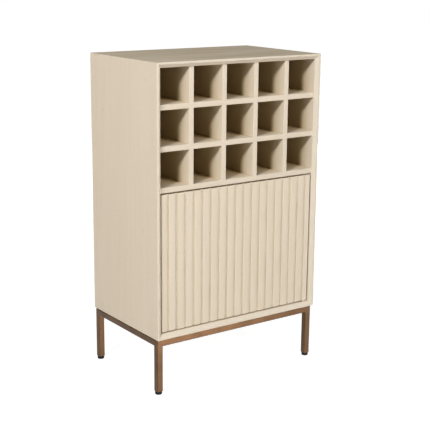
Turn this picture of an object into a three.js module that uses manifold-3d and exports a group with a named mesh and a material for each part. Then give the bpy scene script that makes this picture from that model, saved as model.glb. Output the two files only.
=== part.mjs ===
// A free-standing wine cabinet: a mitred wooden case with an egg-crate bottle rack above a ribbed
// inset door, standing on a bronze tube base with levelling feet.
// Millimetres, +Z up, the front faces -Y, and the origin is on the floor under the middle of the case.
import * as THREE from "three";
import { mergeVertices } from "three/addons/utils/BufferGeometryUtils.js";
import Module from "manifold-3d";

const wasm = await Module();
wasm.setup();

// Clearances
const seatGap = 0.3; // between pieces that are glued, screwed or resting face to face
const runningGap = 0.25; // around a pin or plunger that moves in its bore
const cutOverrun = 2; // how far a cutting tool runs past the face that it opens

// Case: four mitred boards whose front edges are a flat land and a bevel
const caseWidth = 600;
const caseDepth = 380;
const caseHeight = 817;
const boardThickness = 16;
const landWidth = 6;
const bevelDepth = 9;
const backThickness = 6;
const backRecess = 2;
const rebateWidth = 8;

// Bottle rack: half-lapped shelves and dividers above a full board
const rackRows = 3;
const rackColumns = 5;
const cellHeight = 104;
const rackThickness = 16;
const rackSetback = 12;

// Door: one ribbed panel, hung on pivot pins at its right-hand edge
const doorThickness = 20;
const doorSetback = 10;
const doorReveal = 4;
const hingeReveal = 5;
const grooveCount = 18;
const grooveWidth = 8;
const grooveDepth = 4;
const edgeRibWidth = 17.5;
const ribChamfer = 1;

// Pivots: a pin in the door turns in a bush that is let into the case under a steel plate
const pivotInset = 8; // from the door's hinge edge
const pivotSetback = 9; // from the door's ribbed face
const pinDiameter = 6;
const pinDoorDepth = 18;
const pinCaseDepth = 9.5;
const pinChamfer = 0.8;
const bushWall = 1.5;
const bushLength = 8.5;
const pivotPlateWidth = 10;
const pivotPlateSpan = 20;
const pivotPlateThickness = 2;
const washerDiameter = 12;

// Countersunk screw, used in the pivot plates and the strike plate
const flatHeadDiameter = 6;
const flatHeadDepth = 1.5;
const flatShankDiameter = 3;
const flatScrewLength = 11;

// Touch latch on the left-hand side panel
const latchDrop = 30; // axis below the rack's floor board
const latchOffset = 11; // axis from the side panel
const latchLength = 50;
const latchBodySize = 15;
const latchFlangeHeight = 40;
const latchFlangeThickness = 3;
const latchRearWall = 3;
const plungerDiameter = 9;
const plungerLength = 26;
const plungerReach = 4; // how far the plunger stands out of the housing
const magnetDiameter = 6;
const magnetLength = 4;
const strikeDiameter = 16;
const strikeThickness = 1.5;

// Pan-head screws of the latch and of the base
const latchScrew = { head: 7, headDepth: 2.2, shank: 3.5, length: 12 };
const baseScrew = { head: 9, headDepth: 2.8, shank: 4.5, length: 14 };

// Cupboard shelf and its pegs
const cupboardShelfThickness = 16;
const cupboardShelfSetback = 50;
const cupboardShelfSideGap = 1;
const shelfPegHeight = 210;
const pegDiameter = 5;
const pegDepth = 9;
const pegReach = 8;
const pegInset = 40;
const pegChamfer = 0.6;
const pegHoleSpacing = 32;
const pegHoleRows = 3;

// Base: square tube with rounded corners
const tubeSize = 20;
const tubeWall = 1.5;
const tubeCorner = 2.5;
const baseSideInset = 3;
const baseFrontInset = 8;
const baseBackInset = 1;
const legLength = 162;
const cornerPlateSize = 56;
const cornerPlateThickness = 2.5;
const cornerPlateInset = 2;
const baseScrewInset = 37;

// Feet: a round pad on a threaded stud, screwed into a plug in the leg's end
const padDiameter = 21.5;
const padHeight = 9.5;
const padEdge = 2;
const padTopEdge = 0.8;
const studDiameter = 8;
const studLength = 26;
const plugHeight = 14;

// Facets of round shapes
const roundSides = 24;
const screwSides = 16;
const cornerSteps = 4;

// Finishes: colour, roughness, metalness
const finishes = {
  wood: { color: 0xdccfbb, roughness: 0.6, metalness: 0 },
  innerWood: { color: 0xcdbfa8, roughness: 0.65, metalness: 0 },
  bronze: { color: 0x9a7656, roughness: 0.4, metalness: 0.8 },
  steel: { color: 0xb4b5b6, roughness: 0.35, metalness: 0.9 },
  nylon: { color: 0xe4e2dc, roughness: 0.5, metalness: 0 },
  black: { color: 0x1c1b1b, roughness: 0.6, metalness: 0 },
};

// Places that several pieces share, in the case's own frame (its underside is at zero)
const halfWidth = caseWidth / 2;
const innerHalfWidth = halfWidth - boardThickness;
const frontY = -caseDepth / 2;
const backY = caseDepth / 2;
const shoulderY = backY - backRecess - backThickness - seatGap;
const rackTop = caseHeight - boardThickness;
const rackFloorTop = rackTop - rackRows * cellHeight - (rackRows - 1) * rackThickness;
const rackFloorBottom = rackFloorTop - rackThickness;
const cellWidth = (2 * innerHalfWidth - (rackColumns - 1) * rackThickness) / rackColumns;
const rackFrontY = frontY + rackSetback;
const rackDepth = shoulderY - rackFrontY;
const doorWidth = 2 * innerHalfWidth - doorReveal - hingeReveal;
const doorHeight = rackFloorBottom - boardThickness - 2 * doorReveal;
const doorBottom = boardThickness + doorReveal;
const hingeX = innerHalfWidth - hingeReveal - pivotInset;
const hingeY = frontY + doorSetback + pivotSetback;
const doorBackY = doorThickness - pivotSetback; // the door's rear face in its own frame
const latchX = -innerHalfWidth + latchOffset;
const latchZ = rackFloorBottom - latchDrop;
const strikeBackY = hingeY + doorBackY + seatGap + strikeThickness;
const latchFrontY = strikeBackY + seatGap + plungerReach;
const plateTop = padHeight + legLength + 2 * seatGap + cornerPlateThickness;
const caseBottom = plateTop + seatGap;
const legTop = padHeight + seatGap + legLength;
const baseHalfWidth = halfWidth - baseSideInset;
const baseFrontY = frontY + baseFrontInset;
const baseBackY = backY - baseBackInset;
const cupboardFrontY = frontY + cupboardShelfSetback;
const pegRowsY = [cupboardFrontY + pegInset, shoulderY - pegInset];
const cornerSigns = [
  { name: "front_left", x: -1, y: -1 },
  { name: "front_right", x: 1, y: -1 },
  { name: "rear_left", x: -1, y: 1 },
  { name: "rear_right", x: 1, y: 1 },
];

// Closed geometry to a solid and back

function toSolid(geometry) {
  const bare = geometry.clone();
  bare.deleteAttribute("normal");
  bare.deleteAttribute("uv");
  const merged = mergeVertices(bare);
  const index = merged.index.array;
  const kept = [];
  for (let i = 0; i < index.length; i += 3) {
    const [a, b, c] = [index[i], index[i + 1], index[i + 2]];
    if (a !== b && b !== c && c !== a) kept.push(a, b, c);
  }
  const vertProperties = new Float32Array(merged.attributes.position.array);
  const triVerts = new Uint32Array(kept);
  return new wasm.Manifold(new wasm.Mesh({ numProp: 3, vertProperties, triVerts }));
}

function toGeometry(solid) {
  const mesh = solid.getMesh();
  const geometry = new THREE.BufferGeometry();
  geometry.setAttribute("position", new THREE.BufferAttribute(new Float32Array(mesh.vertProperties), 3));
  geometry.setIndex(new THREE.BufferAttribute(new Uint32Array(mesh.triVerts), 1));
  const faceted = geometry.toNonIndexed();
  faceted.computeVertexNormals();
  return faceted;
}

function cut(geometry, tools) {
  let solid = toSolid(geometry);
  for (const tool of tools) solid = solid.subtract(toSolid(tool));
  return toGeometry(solid);
}

// Basic shapes

function blockBetween(low, high) {
  const size = high.map((value, axis) => value - low[axis]);
  const centre = high.map((value, axis) => (value + low[axis]) / 2);
  return new THREE.BoxGeometry(...size).translate(...centre);
}

// A solid turned about Z from [radius, height] points that run upwards round its outside.
function turned(points, sides) {
  const profile = points.map(([radius, height]) => new THREE.Vector2(radius, height));
  return new THREE.LatheGeometry(profile, sides).rotateX(Math.PI / 2);
}

function ring(innerRadius, outerRadius, height, sides) {
  const points = [
    [innerRadius, 0],
    [outerRadius, 0],
    [outerRadius, height],
    [innerRadius, height],
    [innerRadius, 0],
  ];
  return turned(points, sides);
}

function rod(radius, height, chamfer, sides) {
  const points = [
    [0, 0],
    [radius - chamfer, 0],
    [radius, chamfer],
    [radius, height - chamfer],
    [radius - chamfer, height],
    [0, height],
  ];
  return turned(points, sides);
}

function drill(radius, depth, sides = roundSides) {
  const points = [
    [0, -cutOverrun],
    [radius, -cutOverrun],
    [radius, depth],
    [0, depth],
  ];
  return turned(points, sides);
}

function roundedSquare(Path, size, radius) {
  const half = size / 2;
  const inner = half - radius;
  const path = new Path();
  path.moveTo(half, -inner);
  path.lineTo(half, inner);
  path.absarc(inner, inner, radius, 0, Math.PI / 2, false);
  path.absarc(-inner, inner, radius, Math.PI / 2, Math.PI, false);
  path.absarc(-inner, -inner, radius, Math.PI, 1.5 * Math.PI, false);
  path.absarc(inner, -inner, radius, 1.5 * Math.PI, 2 * Math.PI, false);
  return path;
}

function circleHole(x, y, radius) {
  const path = new THREE.Path();
  path.absarc(x, y, radius, 0, 2 * Math.PI, true);
  return path;
}

function extruded(shape, depth, curveSegments = roundSides) {
  return new THREE.ExtrudeGeometry(shape, { depth, bevelEnabled: false, curveSegments });
}

function outlineShape(points) {
  return new THREE.Shape(points.map(([x, y]) => new THREE.Vector2(x, y)));
}

function piece(name, geometry, finish, place = [0, 0, 0]) {
  const mesh = new THREE.Mesh(geometry, new THREE.MeshStandardMaterial(finishes[finish]));
  mesh.name = name;
  mesh.position.set(...place);
  return mesh;
}

// Screws, drawn with the head's face at zero and the point along +Z

function flatScrew(clearance = 0) {
  const headRadius = flatHeadDiameter / 2 + clearance;
  const shankRadius = flatShankDiameter / 2 + clearance;
  const start = clearance > 0 ? -cutOverrun : 0;
  const points = [
    [0, start],
    [headRadius, start],
    [headRadius, clearance],
    [shankRadius, flatHeadDepth + clearance],
    [shankRadius, flatScrewLength - flatShankDiameter / 2],
    [clearance, flatScrewLength + clearance],
  ];
  if (clearance > 0) points.push([0, flatScrewLength + clearance]);
  return turned(points, screwSides);
}

function panScrew(size) {
  const points = [
    [0, 0],
    [size.head / 2 - size.headDepth / 2, 0],
    [size.head / 2, size.headDepth / 2],
    [size.head / 2, size.headDepth],
    [size.shank / 2, size.headDepth],
    [size.shank / 2, size.headDepth + size.length - size.shank / 2],
    [0, size.headDepth + size.length],
  ];
  return turned(points, screwSides);
}

// Case

// A board of the case, lying along X with its outer face at zero, mitred at both ends.
function mitredBoard(length) {
  const outline = outlineShape([
    [frontY, 0],
    [backY, 0],
    [backY, boardThickness - rebateWidth],
    [shoulderY, boardThickness - rebateWidth],
    [shoulderY, boardThickness],
    [frontY + bevelDepth, boardThickness],
    [frontY, landWidth],
  ]);
  const geometry = extruded(outline, length);
  const depthAxis = new THREE.Vector3(0, 1, 0);
  const upAxis = new THREE.Vector3(0, 0, 1);
  const lengthAxis = new THREE.Vector3(1, 0, 0);
  geometry.applyMatrix4(new THREE.Matrix4().makeBasis(depthAxis, upAxis, lengthAxis));
  const position = geometry.attributes.position;
  const mitreShift = seatGap / Math.SQRT2;
  for (let i = 0; i < position.count; i++) {
    const reach = length / 2 - position.getZ(i) - mitreShift;
    position.setX(i, position.getX(i) > 0 ? reach : -reach);
  }
  return geometry;
}

function topPanel() {
  return piece("top_panel", mitredBoard(caseWidth).rotateY(Math.PI), "wood", [0, 0, caseHeight]);
}

function bottomPanel() {
  const tools = pivotCuts().map((tool) => tool.translate(hingeX, hingeY, boardThickness));
  for (const corner of cornerSigns) {
    const [x, y] = baseScrewPlace(corner);
    const pilotDepth = baseScrew.length - cornerPlateThickness;
    tools.push(drill(baseScrew.shank / 2 + seatGap, pilotDepth, screwSides).translate(x, y, 0));
  }
  return piece("bottom_panel", cut(mitredBoard(caseWidth), tools), "wood");
}

// Tools for one side panel: blind peg holes, drawn from the inner face towards -X.
function pegHoles() {
  const tools = [];
  for (const y of pegRowsY) {
    for (let row = 0; row < pegHoleRows; row++) {
      const z = shelfPegHeight + (row - (pegHoleRows - 1) / 2) * pegHoleSpacing;
      const tool = drill(pegDiameter / 2 + seatGap, pegDepth + seatGap, screwSides);
      tools.push(tool.rotateY(-Math.PI / 2).translate(-innerHalfWidth, y, z));
    }
  }
  return tools;
}

function latchPilots() {
  return latchScrewHeights().map((z) => {
    const pilotDepth = latchScrew.length - latchFlangeThickness;
    const tool = drill(latchScrew.shank / 2 + seatGap, pilotDepth, screwSides);
    return tool.rotateY(-Math.PI / 2).translate(-innerHalfWidth, latchMiddleY(), z);
  });
}

function leftSidePanel() {
  const board = mitredBoard(caseHeight).rotateY(Math.PI / 2).translate(-halfWidth, 0, caseHeight / 2);
  return piece("left_side_panel", cut(board, [...pegHoles(), ...latchPilots()]), "wood");
}

function rightSidePanel() {
  const board = mitredBoard(caseHeight).rotateY(-Math.PI / 2).translate(halfWidth, 0, caseHeight / 2);
  const tools = pegHoles().map((tool) => tool.rotateZ(Math.PI));
  const mirrored = tools.map((tool) => tool.translate(0, pegRowsY[0] + pegRowsY[1], 0));
  return piece("right_side_panel", cut(board, mirrored), "wood");
}

function backPanel() {
  const letIn = rebateWidth - seatGap;
  const low = [-innerHalfWidth - letIn, shoulderY + seatGap, boardThickness - letIn];
  const high = [innerHalfWidth + letIn, backY - backRecess, rackTop + letIn];
  return piece("back_panel", blockBetween(low, high), "innerWood");
}

// Bottle rack

function rackFloor() {
  const low = [-innerHalfWidth + seatGap, rackFrontY, rackFloorBottom];
  const high = [innerHalfWidth - seatGap, shoulderY, rackFloorTop];
  const tools = pivotCuts().map((tool) => tool.rotateX(Math.PI).translate(hingeX, hingeY, rackFloorBottom));
  return piece("rack_floor", cut(blockBetween(low, high), tools), "wood");
}

// An outline from its left end, with notches of half the depth open to one long edge.
function notchedOutline(length, depth, notches, openToFront) {
  const lap = depth / 2;
  const slot = rackThickness / 2 + seatGap;
  const lapFloor = openToFront ? lap + seatGap : lap - seatGap;
  const openEdge = openToFront ? 0 : depth;
  const closedEdge = depth - openEdge;
  const points = [[0, openEdge]];
  for (const centre of notches) {
    points.push([centre - slot, openEdge], [centre - slot, lapFloor]);
    points.push([centre + slot, lapFloor], [centre + slot, openEdge]);
  }
  points.push([length, openEdge], [length, closedEdge], [0, closedEdge]);
  return outlineShape(openToFront ? points : points.reverse());
}

function rackShelves() {
  const length = 2 * (innerHalfWidth - seatGap);
  const notches = [];
  for (let column = 1; column < rackColumns; column++) {
    notches.push(column * (cellWidth + rackThickness) - rackThickness / 2 - seatGap);
  }
  const shelves = [];
  for (let row = 1; row < rackRows; row++) {
    const bottom = rackFloorTop + row * cellHeight + (row - 1) * rackThickness;
    const geometry = extruded(notchedOutline(length, rackDepth, notches, false), rackThickness);
    const place = [-length / 2, rackFrontY, bottom];
    shelves.push(piece(`rack_shelf_${row}`, geometry, "wood", place));
  }
  return shelves;
}

function rackDividers() {
  const height = rackTop - rackFloorTop - 2 * seatGap;
  const notches = [];
  for (let row = 1; row < rackRows; row++) {
    notches.push(row * (cellHeight + rackThickness) - rackThickness / 2 - seatGap);
  }
  const upAxis = new THREE.Vector3(0, 0, 1);
  const depthAxis = new THREE.Vector3(0, 1, 0);
  const sideAxis = new THREE.Vector3(-1, 0, 0);
  const upright = new THREE.Matrix4().makeBasis(upAxis, depthAxis, sideAxis);
  const dividers = [];
  for (let column = 1; column < rackColumns; column++) {
    const right = -innerHalfWidth + column * (cellWidth + rackThickness);
    const geometry = extruded(notchedOutline(height, rackDepth, notches, true), rackThickness);
    geometry.applyMatrix4(upright);
    const place = [right, rackFrontY, rackFloorTop + seatGap];
    dividers.push(piece(`rack_divider_${column}`, geometry, "wood", place));
  }
  return dividers;
}

// Cupboard shelf

function cupboardShelf() {
  const bottom = shelfPegHeight + pegDiameter / 2 + seatGap;
  const reach = innerHalfWidth - cupboardShelfSideGap;
  const low = [-reach, cupboardFrontY, bottom];
  const high = [reach, shoulderY, bottom + cupboardShelfThickness];
  return piece("cupboard_shelf", blockBetween(low, high), "innerWood");
}

function shelfPegs() {
  return cornerSigns.map((corner) => {
    const geometry = rod(pegDiameter / 2, pegDepth + pegReach, pegChamfer, screwSides);
    geometry.rotateY(-corner.x * Math.PI / 2);
    const place = [corner.x * (innerHalfWidth + pegDepth), pegRowsY[corner.y < 0 ? 0 : 1], shelfPegHeight];
    return piece(`shelf_peg_${corner.name}`, geometry, "steel", place);
  });
}

// Door, in a frame whose Z axis is the hinge axis and whose floor is the door's lower edge

function doorOutline() {
  const face = -pivotSetback;
  const left = pivotInset - doorWidth;
  const pitch = (doorWidth - 2 * edgeRibWidth - grooveWidth) / (grooveCount - 1);
  const points = [[left, doorBackY], [left, face + ribChamfer], [left + ribChamfer, face]];
  for (let groove = 0; groove < grooveCount; groove++) {
    const start = left + edgeRibWidth + groove * pitch;
    const end = start + grooveWidth;
    points.push([start - ribChamfer, face], [start, face + ribChamfer]);
    points.push([start, face + grooveDepth], [end, face + grooveDepth]);
    points.push([end, face + ribChamfer], [end + ribChamfer, face]);
  }
  points.push([pivotInset - ribChamfer, face], [pivotInset, face + ribChamfer], [pivotInset, doorBackY]);
  return outlineShape(points);
}

function strikePlace() {
  return [latchX - hingeX, doorBackY + seatGap, latchZ - doorBottom];
}

// The strike's screw, its head level with the strike's rear face.
function strikeScrewGeometry(clearance) {
  return flatScrew(clearance).rotateX(Math.PI / 2).translate(0, strikeThickness, 0);
}

function doorPanel() {
  const pinBore = drill(pinDiameter / 2 + seatGap, pinDoorDepth + seatGap);
  const upperBore = pinBore.clone().rotateX(Math.PI).translate(0, 0, doorHeight);
  const pilot = strikeScrewGeometry(seatGap).translate(...strikePlace());
  const geometry = cut(extruded(doorOutline(), doorHeight), [pinBore, upperBore, pilot]);
  return piece("door_panel", geometry, "wood");
}

function strikePlate() {
  const blank = rod(strikeDiameter / 2, strikeThickness, strikeThickness / 4, roundSides);
  const geometry = cut(blank.rotateX(-Math.PI / 2), [strikeScrewGeometry(seatGap)]);
  return piece("strike_plate", geometry, "steel", strikePlace());
}

function strikeScrew() {
  return piece("strike_screw", strikeScrewGeometry(0), "steel", strikePlace());
}

function pivotPin(name, upward) {
  const length = pinDoorDepth + doorReveal + pinCaseDepth;
  const geometry = rod(pinDiameter / 2, length, pinChamfer, roundSides);
  const place = upward ? doorHeight - pinDoorDepth : pinDoorDepth - length;
  return piece(name, geometry, "steel", [0, 0, place]);
}

// Pivot fittings let into a board whose face is at zero, with the board below it

function pivotPlateShape(clearance) {
  const radius = pivotPlateWidth / 2 + clearance;
  const shape = new THREE.Shape();
  shape.moveTo(0, -radius);
  shape.absarc(0, 0, radius, -Math.PI / 2, Math.PI / 2, false);
  shape.lineTo(-pivotPlateSpan, radius);
  shape.absarc(-pivotPlateSpan, 0, radius, Math.PI / 2, 1.5 * Math.PI, false);
  return shape;
}

function pivotScrewTool() {
  return flatScrew(seatGap).rotateX(Math.PI).translate(-pivotPlateSpan, 0, 0);
}

function pivotCuts() {
  const pocketDepth = pivotPlateThickness + seatGap;
  const pocket = extruded(pivotPlateShape(seatGap), pocketDepth + cutOverrun).translate(0, 0, -pocketDepth);
  const boreRadius = pinDiameter / 2 + runningGap + bushWall + seatGap;
  const bore = drill(boreRadius, pocketDepth + bushLength + 2 * seatGap).rotateX(Math.PI);
  return [pocket, bore, pivotScrewTool()];
}

function pivotPlate(name) {
  const shape = pivotPlateShape(0);
  shape.holes.push(circleHole(0, 0, pinDiameter / 2 + runningGap));
  const blank = extruded(shape, pivotPlateThickness).translate(0, 0, -pivotPlateThickness);
  return piece(name, cut(blank, [pivotScrewTool()]), "steel");
}

function pivotBush(name) {
  const innerRadius = pinDiameter / 2 + runningGap;
  const geometry = ring(innerRadius, innerRadius + bushWall, bushLength, roundSides);
  return piece(name, geometry, "nylon", [0, 0, -pivotPlateThickness - seatGap - bushLength]);
}

function pivotScrew(name) {
  return piece(name, flatScrew().rotateX(Math.PI), "steel", [-pivotPlateSpan, 0, 0]);
}

function pivotFittings(side) {
  const fittings = new THREE.Group();
  fittings.add(pivotPlate(`${side}_pivot_plate`));
  fittings.add(pivotBush(`${side}_pivot_bush`));
  fittings.add(pivotScrew(`${side}_pivot_screw`));
  return fittings;
}

function thrustWasher() {
  const height = doorReveal - 2 * seatGap;
  const geometry = ring(pinDiameter / 2 + runningGap, washerDiameter / 2, height, roundSides);
  return piece("lower_thrust_washer", geometry, "nylon", [0, 0, seatGap]);
}

// Touch latch, in a frame whose Y axis is the plunger's axis, with the housing's mouth at zero

function latchScrewHeights() {
  const middle = (latchFlangeHeight / 2 + latchBodySize / 2) / 2;
  return [latchZ - middle, latchZ + middle];
}

function latchMiddleY() {
  return latchFrontY + latchLength / 2;
}

function latchHousing() {
  const wallX = seatGap - latchOffset;
  const flangeX = wallX + latchFlangeThickness;
  const half = latchBodySize / 2;
  const outline = outlineShape([
    [wallX, -latchFlangeHeight / 2],
    [flangeX, -latchFlangeHeight / 2],
    [flangeX, -half],
    [half, -half],
    [half, half],
    [flangeX, half],
    [flangeX, latchFlangeHeight / 2],
    [wallX, latchFlangeHeight / 2],
  ]);
  const blank = extruded(outline, latchLength).rotateX(Math.PI / 2).translate(0, latchLength, 0);
  const bore = drill(plungerDiameter / 2 + runningGap, latchLength - latchRearWall).rotateX(-Math.PI / 2);
  const tools = [bore];
  for (const z of latchScrewHeights()) {
    const hole = drill(latchScrew.shank / 2 + seatGap, latchFlangeThickness + cutOverrun, screwSides);
    tools.push(hole.rotateY(Math.PI / 2).translate(wallX, latchLength / 2, z - latchZ));
  }
  return piece("latch_housing", cut(blank, tools), "black");
}

function latchPlunger() {
  const radius = plungerDiameter / 2;
  const cupRadius = magnetDiameter / 2 + seatGap;
  const edge = seatGap;
  const points = [
    [0, magnetLength + seatGap],
    [cupRadius, magnetLength + seatGap],
    [cupRadius, 0],
    [radius - edge, 0],
    [radius, edge],
    [radius, plungerLength],
    [0, plungerLength],
  ];
  const geometry = turned(points, roundSides).rotateX(-Math.PI / 2);
  return piece("latch_plunger", geometry, "nylon", [0, -plungerReach, 0]);
}

function latchMagnet() {
  const geometry = rod(magnetDiameter / 2, magnetLength, seatGap, roundSides).rotateX(-Math.PI / 2);
  return piece("latch_magnet", geometry, "steel", [0, -plungerReach, 0]);
}

function latchScrews() {
  const names = ["latch_screw_lower", "latch_screw_upper"];
  return latchScrewHeights().map((z, i) => {
    const geometry = panScrew(latchScrew).rotateY(-Math.PI / 2);
    const headX = seatGap - latchOffset + latchFlangeThickness + seatGap + latchScrew.headDepth;
    return piece(names[i], geometry, "steel", [headX, latchLength / 2, z - latchZ]);
  });
}

// Base

function tube(length) {
  const shape = roundedSquare(THREE.Shape, tubeSize, tubeCorner);
  shape.holes.push(roundedSquare(THREE.Path, tubeSize - 2 * tubeWall, tubeCorner - tubeWall));
  return extruded(shape, length, cornerSteps).translate(0, 0, -length / 2);
}

function legPlace(corner) {
  const x = corner.x * (baseHalfWidth - tubeSize / 2);
  const y = corner.y < 0 ? baseFrontY + tubeSize / 2 : baseBackY - tubeSize / 2;
  return [x, y];
}

function baseScrewPlace(corner) {
  const x = corner.x * (baseHalfWidth - baseScrewInset);
  const y = corner.y < 0 ? baseFrontY + baseScrewInset : baseBackY - baseScrewInset;
  return [x, y];
}

function legs() {
  return cornerSigns.map((corner) => {
    const place = [...legPlace(corner), legTop - legLength / 2];
    return piece(`leg_${corner.name}`, tube(legLength), "bronze", place);
  });
}

function rails() {
  const z = legTop - tubeSize / 2;
  const middleY = (baseFrontY + baseBackY) / 2;
  const across = 2 * (baseHalfWidth - tubeSize - seatGap);
  const along = baseBackY - baseFrontY - 2 * (tubeSize + seatGap);
  const sideX = baseHalfWidth - tubeSize / 2;
  const wide = () => tube(across).rotateY(Math.PI / 2);
  const deep = () => tube(along).rotateX(Math.PI / 2);
  return [
    piece("front_rail", wide(), "bronze", [0, baseFrontY + tubeSize / 2, z]),
    piece("rear_rail", wide(), "bronze", [0, baseBackY - tubeSize / 2, z]),
    piece("left_rail", deep(), "bronze", [-sideX, middleY, z]),
    piece("right_rail", deep(), "bronze", [sideX, middleY, z]),
  ];
}

function cornerPlates() {
  const half = cornerPlateSize / 2;
  const reach = cornerPlateInset + half;
  const holeOffset = baseScrewInset - reach;
  return cornerSigns.map((corner) => {
    const shape = outlineShape([[-half, -half], [half, -half], [half, half], [-half, half]]);
    const holeRadius = baseScrew.shank / 2 + seatGap;
    shape.holes.push(circleHole(-corner.x * holeOffset, -corner.y * holeOffset, holeRadius));
    const x = corner.x * (baseHalfWidth - reach);
    const y = corner.y < 0 ? baseFrontY + reach : baseBackY - reach;
    const geometry = extruded(shape, cornerPlateThickness, screwSides / 2);
    return piece(`corner_plate_${corner.name}`, geometry, "bronze", [x, y, legTop + seatGap]);
  });
}

function baseScrews() {
  return cornerSigns.map((corner) => {
    const headZ = legTop - baseScrew.headDepth;
    return piece(`base_screw_${corner.name}`, panScrew(baseScrew), "steel", [...baseScrewPlace(corner), headZ]);
  });
}

function legPlugs() {
  const size = tubeSize - 2 * tubeWall - 2 * seatGap;
  const corner = tubeCorner - tubeWall;
  return cornerSigns.map((place) => {
    const blank = extruded(roundedSquare(THREE.Shape, size, corner), plugHeight, cornerSteps);
    const bore = drill(studDiameter / 2 + runningGap, plugHeight + cutOverrun);
    const centre = [...legPlace(place), legTop - legLength];
    return piece(`leg_plug_${place.name}`, cut(blank, [bore]), "black", centre);
  });
}

function footGeometry() {
  const radius = padDiameter / 2;
  const stud = studDiameter / 2;
  const points = [[0, 0]];
  for (let step = 0; step <= cornerSteps; step++) {
    const angle = (step / cornerSteps) * (Math.PI / 2);
    points.push([radius - padEdge + padEdge * Math.sin(angle), padEdge - padEdge * Math.cos(angle)]);
  }
  points.push([radius, padHeight - padTopEdge], [radius - padTopEdge, padHeight]);
  points.push([stud, padHeight], [stud, padHeight + studLength], [0, padHeight + studLength]);
  return turned(points, roundSides);
}

function feet() {
  return cornerSigns.map((corner) => {
    return piece(`foot_${corner.name}`, footGeometry(), "black", [...legPlace(corner), 0]);
  });
}

// Assembly

function caseGroup() {
  const group = new THREE.Group();
  group.position.set(0, 0, caseBottom);
  group.add(topPanel(), bottomPanel(), leftSidePanel(), rightSidePanel(), backPanel());
  group.add(rackFloor(), ...rackShelves(), ...rackDividers());
  group.add(cupboardShelf(), ...shelfPegs());

  const lower = pivotFittings("lower");
  lower.position.set(hingeX, hingeY, boardThickness);
  lower.add(thrustWasher());
  const upper = pivotFittings("upper");
  upper.position.set(hingeX, hingeY, rackFloorBottom);
  upper.rotation.x = Math.PI;

  const latch = new THREE.Group();
  latch.position.set(latchX, latchFrontY, latchZ);
  latch.add(latchHousing(), latchPlunger(), latchMagnet(), ...latchScrews());

  const door = new THREE.Group();
  door.position.set(hingeX, hingeY, doorBottom);
  door.add(doorPanel(), strikePlate(), strikeScrew());
  door.add(pivotPin("lower_pivot_pin", false), pivotPin("upper_pivot_pin", true));

  group.add(lower, upper, latch, door);
  return group;
}

function baseGroup() {
  const group = new THREE.Group();
  group.add(...rails(), ...legs(), ...cornerPlates(), ...baseScrews(), ...legPlugs(), ...feet());
  return group;
}

const cabinet = new THREE.Group();
cabinet.name = "wine_cabinet";
cabinet.add(baseGroup(), caseGroup());

export default cabinet;
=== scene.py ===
"""A free-standing wine cabinet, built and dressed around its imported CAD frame.

A mitred case of limewashed mango boards holds an egg-crate bottle rack above a ribbed push-to-open
door, and stands on a low welded frame of bronze-lacquered square tube with levelling feet.
Sizes are in millimetres in the classes and in metres in Blender. The front faces -Y.
"""
import sys
import logging
import math
from collections.abc import Iterable, Sequence
from dataclasses import dataclass
from enum import Enum
from typing import Any

import bmesh
import bpy
from mathutils import Matrix, Vector


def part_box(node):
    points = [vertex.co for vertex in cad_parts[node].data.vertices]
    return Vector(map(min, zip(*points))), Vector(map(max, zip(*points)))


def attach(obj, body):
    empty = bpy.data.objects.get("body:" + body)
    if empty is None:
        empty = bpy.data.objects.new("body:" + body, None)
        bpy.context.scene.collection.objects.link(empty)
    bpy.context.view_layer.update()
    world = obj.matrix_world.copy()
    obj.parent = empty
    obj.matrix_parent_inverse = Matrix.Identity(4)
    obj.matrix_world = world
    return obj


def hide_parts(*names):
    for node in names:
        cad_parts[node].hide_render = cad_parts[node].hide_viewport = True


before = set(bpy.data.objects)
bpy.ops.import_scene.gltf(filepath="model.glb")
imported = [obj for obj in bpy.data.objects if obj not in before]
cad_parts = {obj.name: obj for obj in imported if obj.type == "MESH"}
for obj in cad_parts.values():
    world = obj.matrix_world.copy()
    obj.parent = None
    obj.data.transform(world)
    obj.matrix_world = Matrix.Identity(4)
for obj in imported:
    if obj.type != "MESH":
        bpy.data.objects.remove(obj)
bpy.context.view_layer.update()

log = logging.getLogger("wine_cabinet")

MM = 0.001  # one millimetre in Blender's metres
WELD_DISTANCE = 1e-7  # metres; points closer than this are one point
LEAST_RADIUS = 0.02  # mm; the smallest fillet that an inset outline shrinks to
SMOOTH_ANGLE = math.radians(36)

Object = bpy.types.Object
Mesh = bmesh.types.BMesh
Tree = bpy.types.NodeTree
Socket = bpy.types.NodeSocket
Point = tuple[float, float, float]

# Sizes and places that several pieces share, in mm
INNER_WALL = 284.0  # from the middle to a side board's inner face
CASE_BOTTOM = 174.9  # the underside of the bottom board
REAR_SHOULDER = 181.7  # where the boards' rebate for the back starts
PIVOT_PLACE = (271.0, -171.0)  # the door's axis, seen from above
LATCH_PLACE = (-273.0, 585.9)  # the latch and its strike plate, as X and Z
CLEARANCE = 0.1  # between a fitting and the hole that takes it
SEAT_GAP = 0.3  # between a fitting and what it is seated on
OVERCUT = 1.0  # how far a cutting tool starts outside the face that it enters

# Cosines that say which way a face looks
LOOKS_ALONG = 0.9
LEANS_TOWARDS = 0.4


# Shared choices


class Axis(Enum):
    """An axis of the model: what a piece lies along, or the way that its grain runs."""

    X = 0
    Y = 1
    Z = 2

    def place(self, across: float, upward: float, along: float) -> Vector:
        """Turns a piece's own lengths in mm, the last of them along this axis, to a point in metres."""
        order = {
            Axis.X: (along, across, upward),
            Axis.Y: (upward, along, across),
            Axis.Z: (across, upward, along),
        }
        return Vector(order[self]) * MM

    def stretch(self, across: float, along: float) -> Vector:
        """Gives the scale of a pattern that is stretched along this axis.

        Args:
            across: the size of one unit on the other axes, in metres.
            along: its size on this axis.

        Returns:
            The scale on each axis.
        """
        scale = [1 / across] * 3
        scale[self.value] = 1 / along
        return Vector(scale)


class Carving(Enum):
    """How one solid changes another."""

    CUT = "DIFFERENCE"
    JOIN = "UNION"


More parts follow.
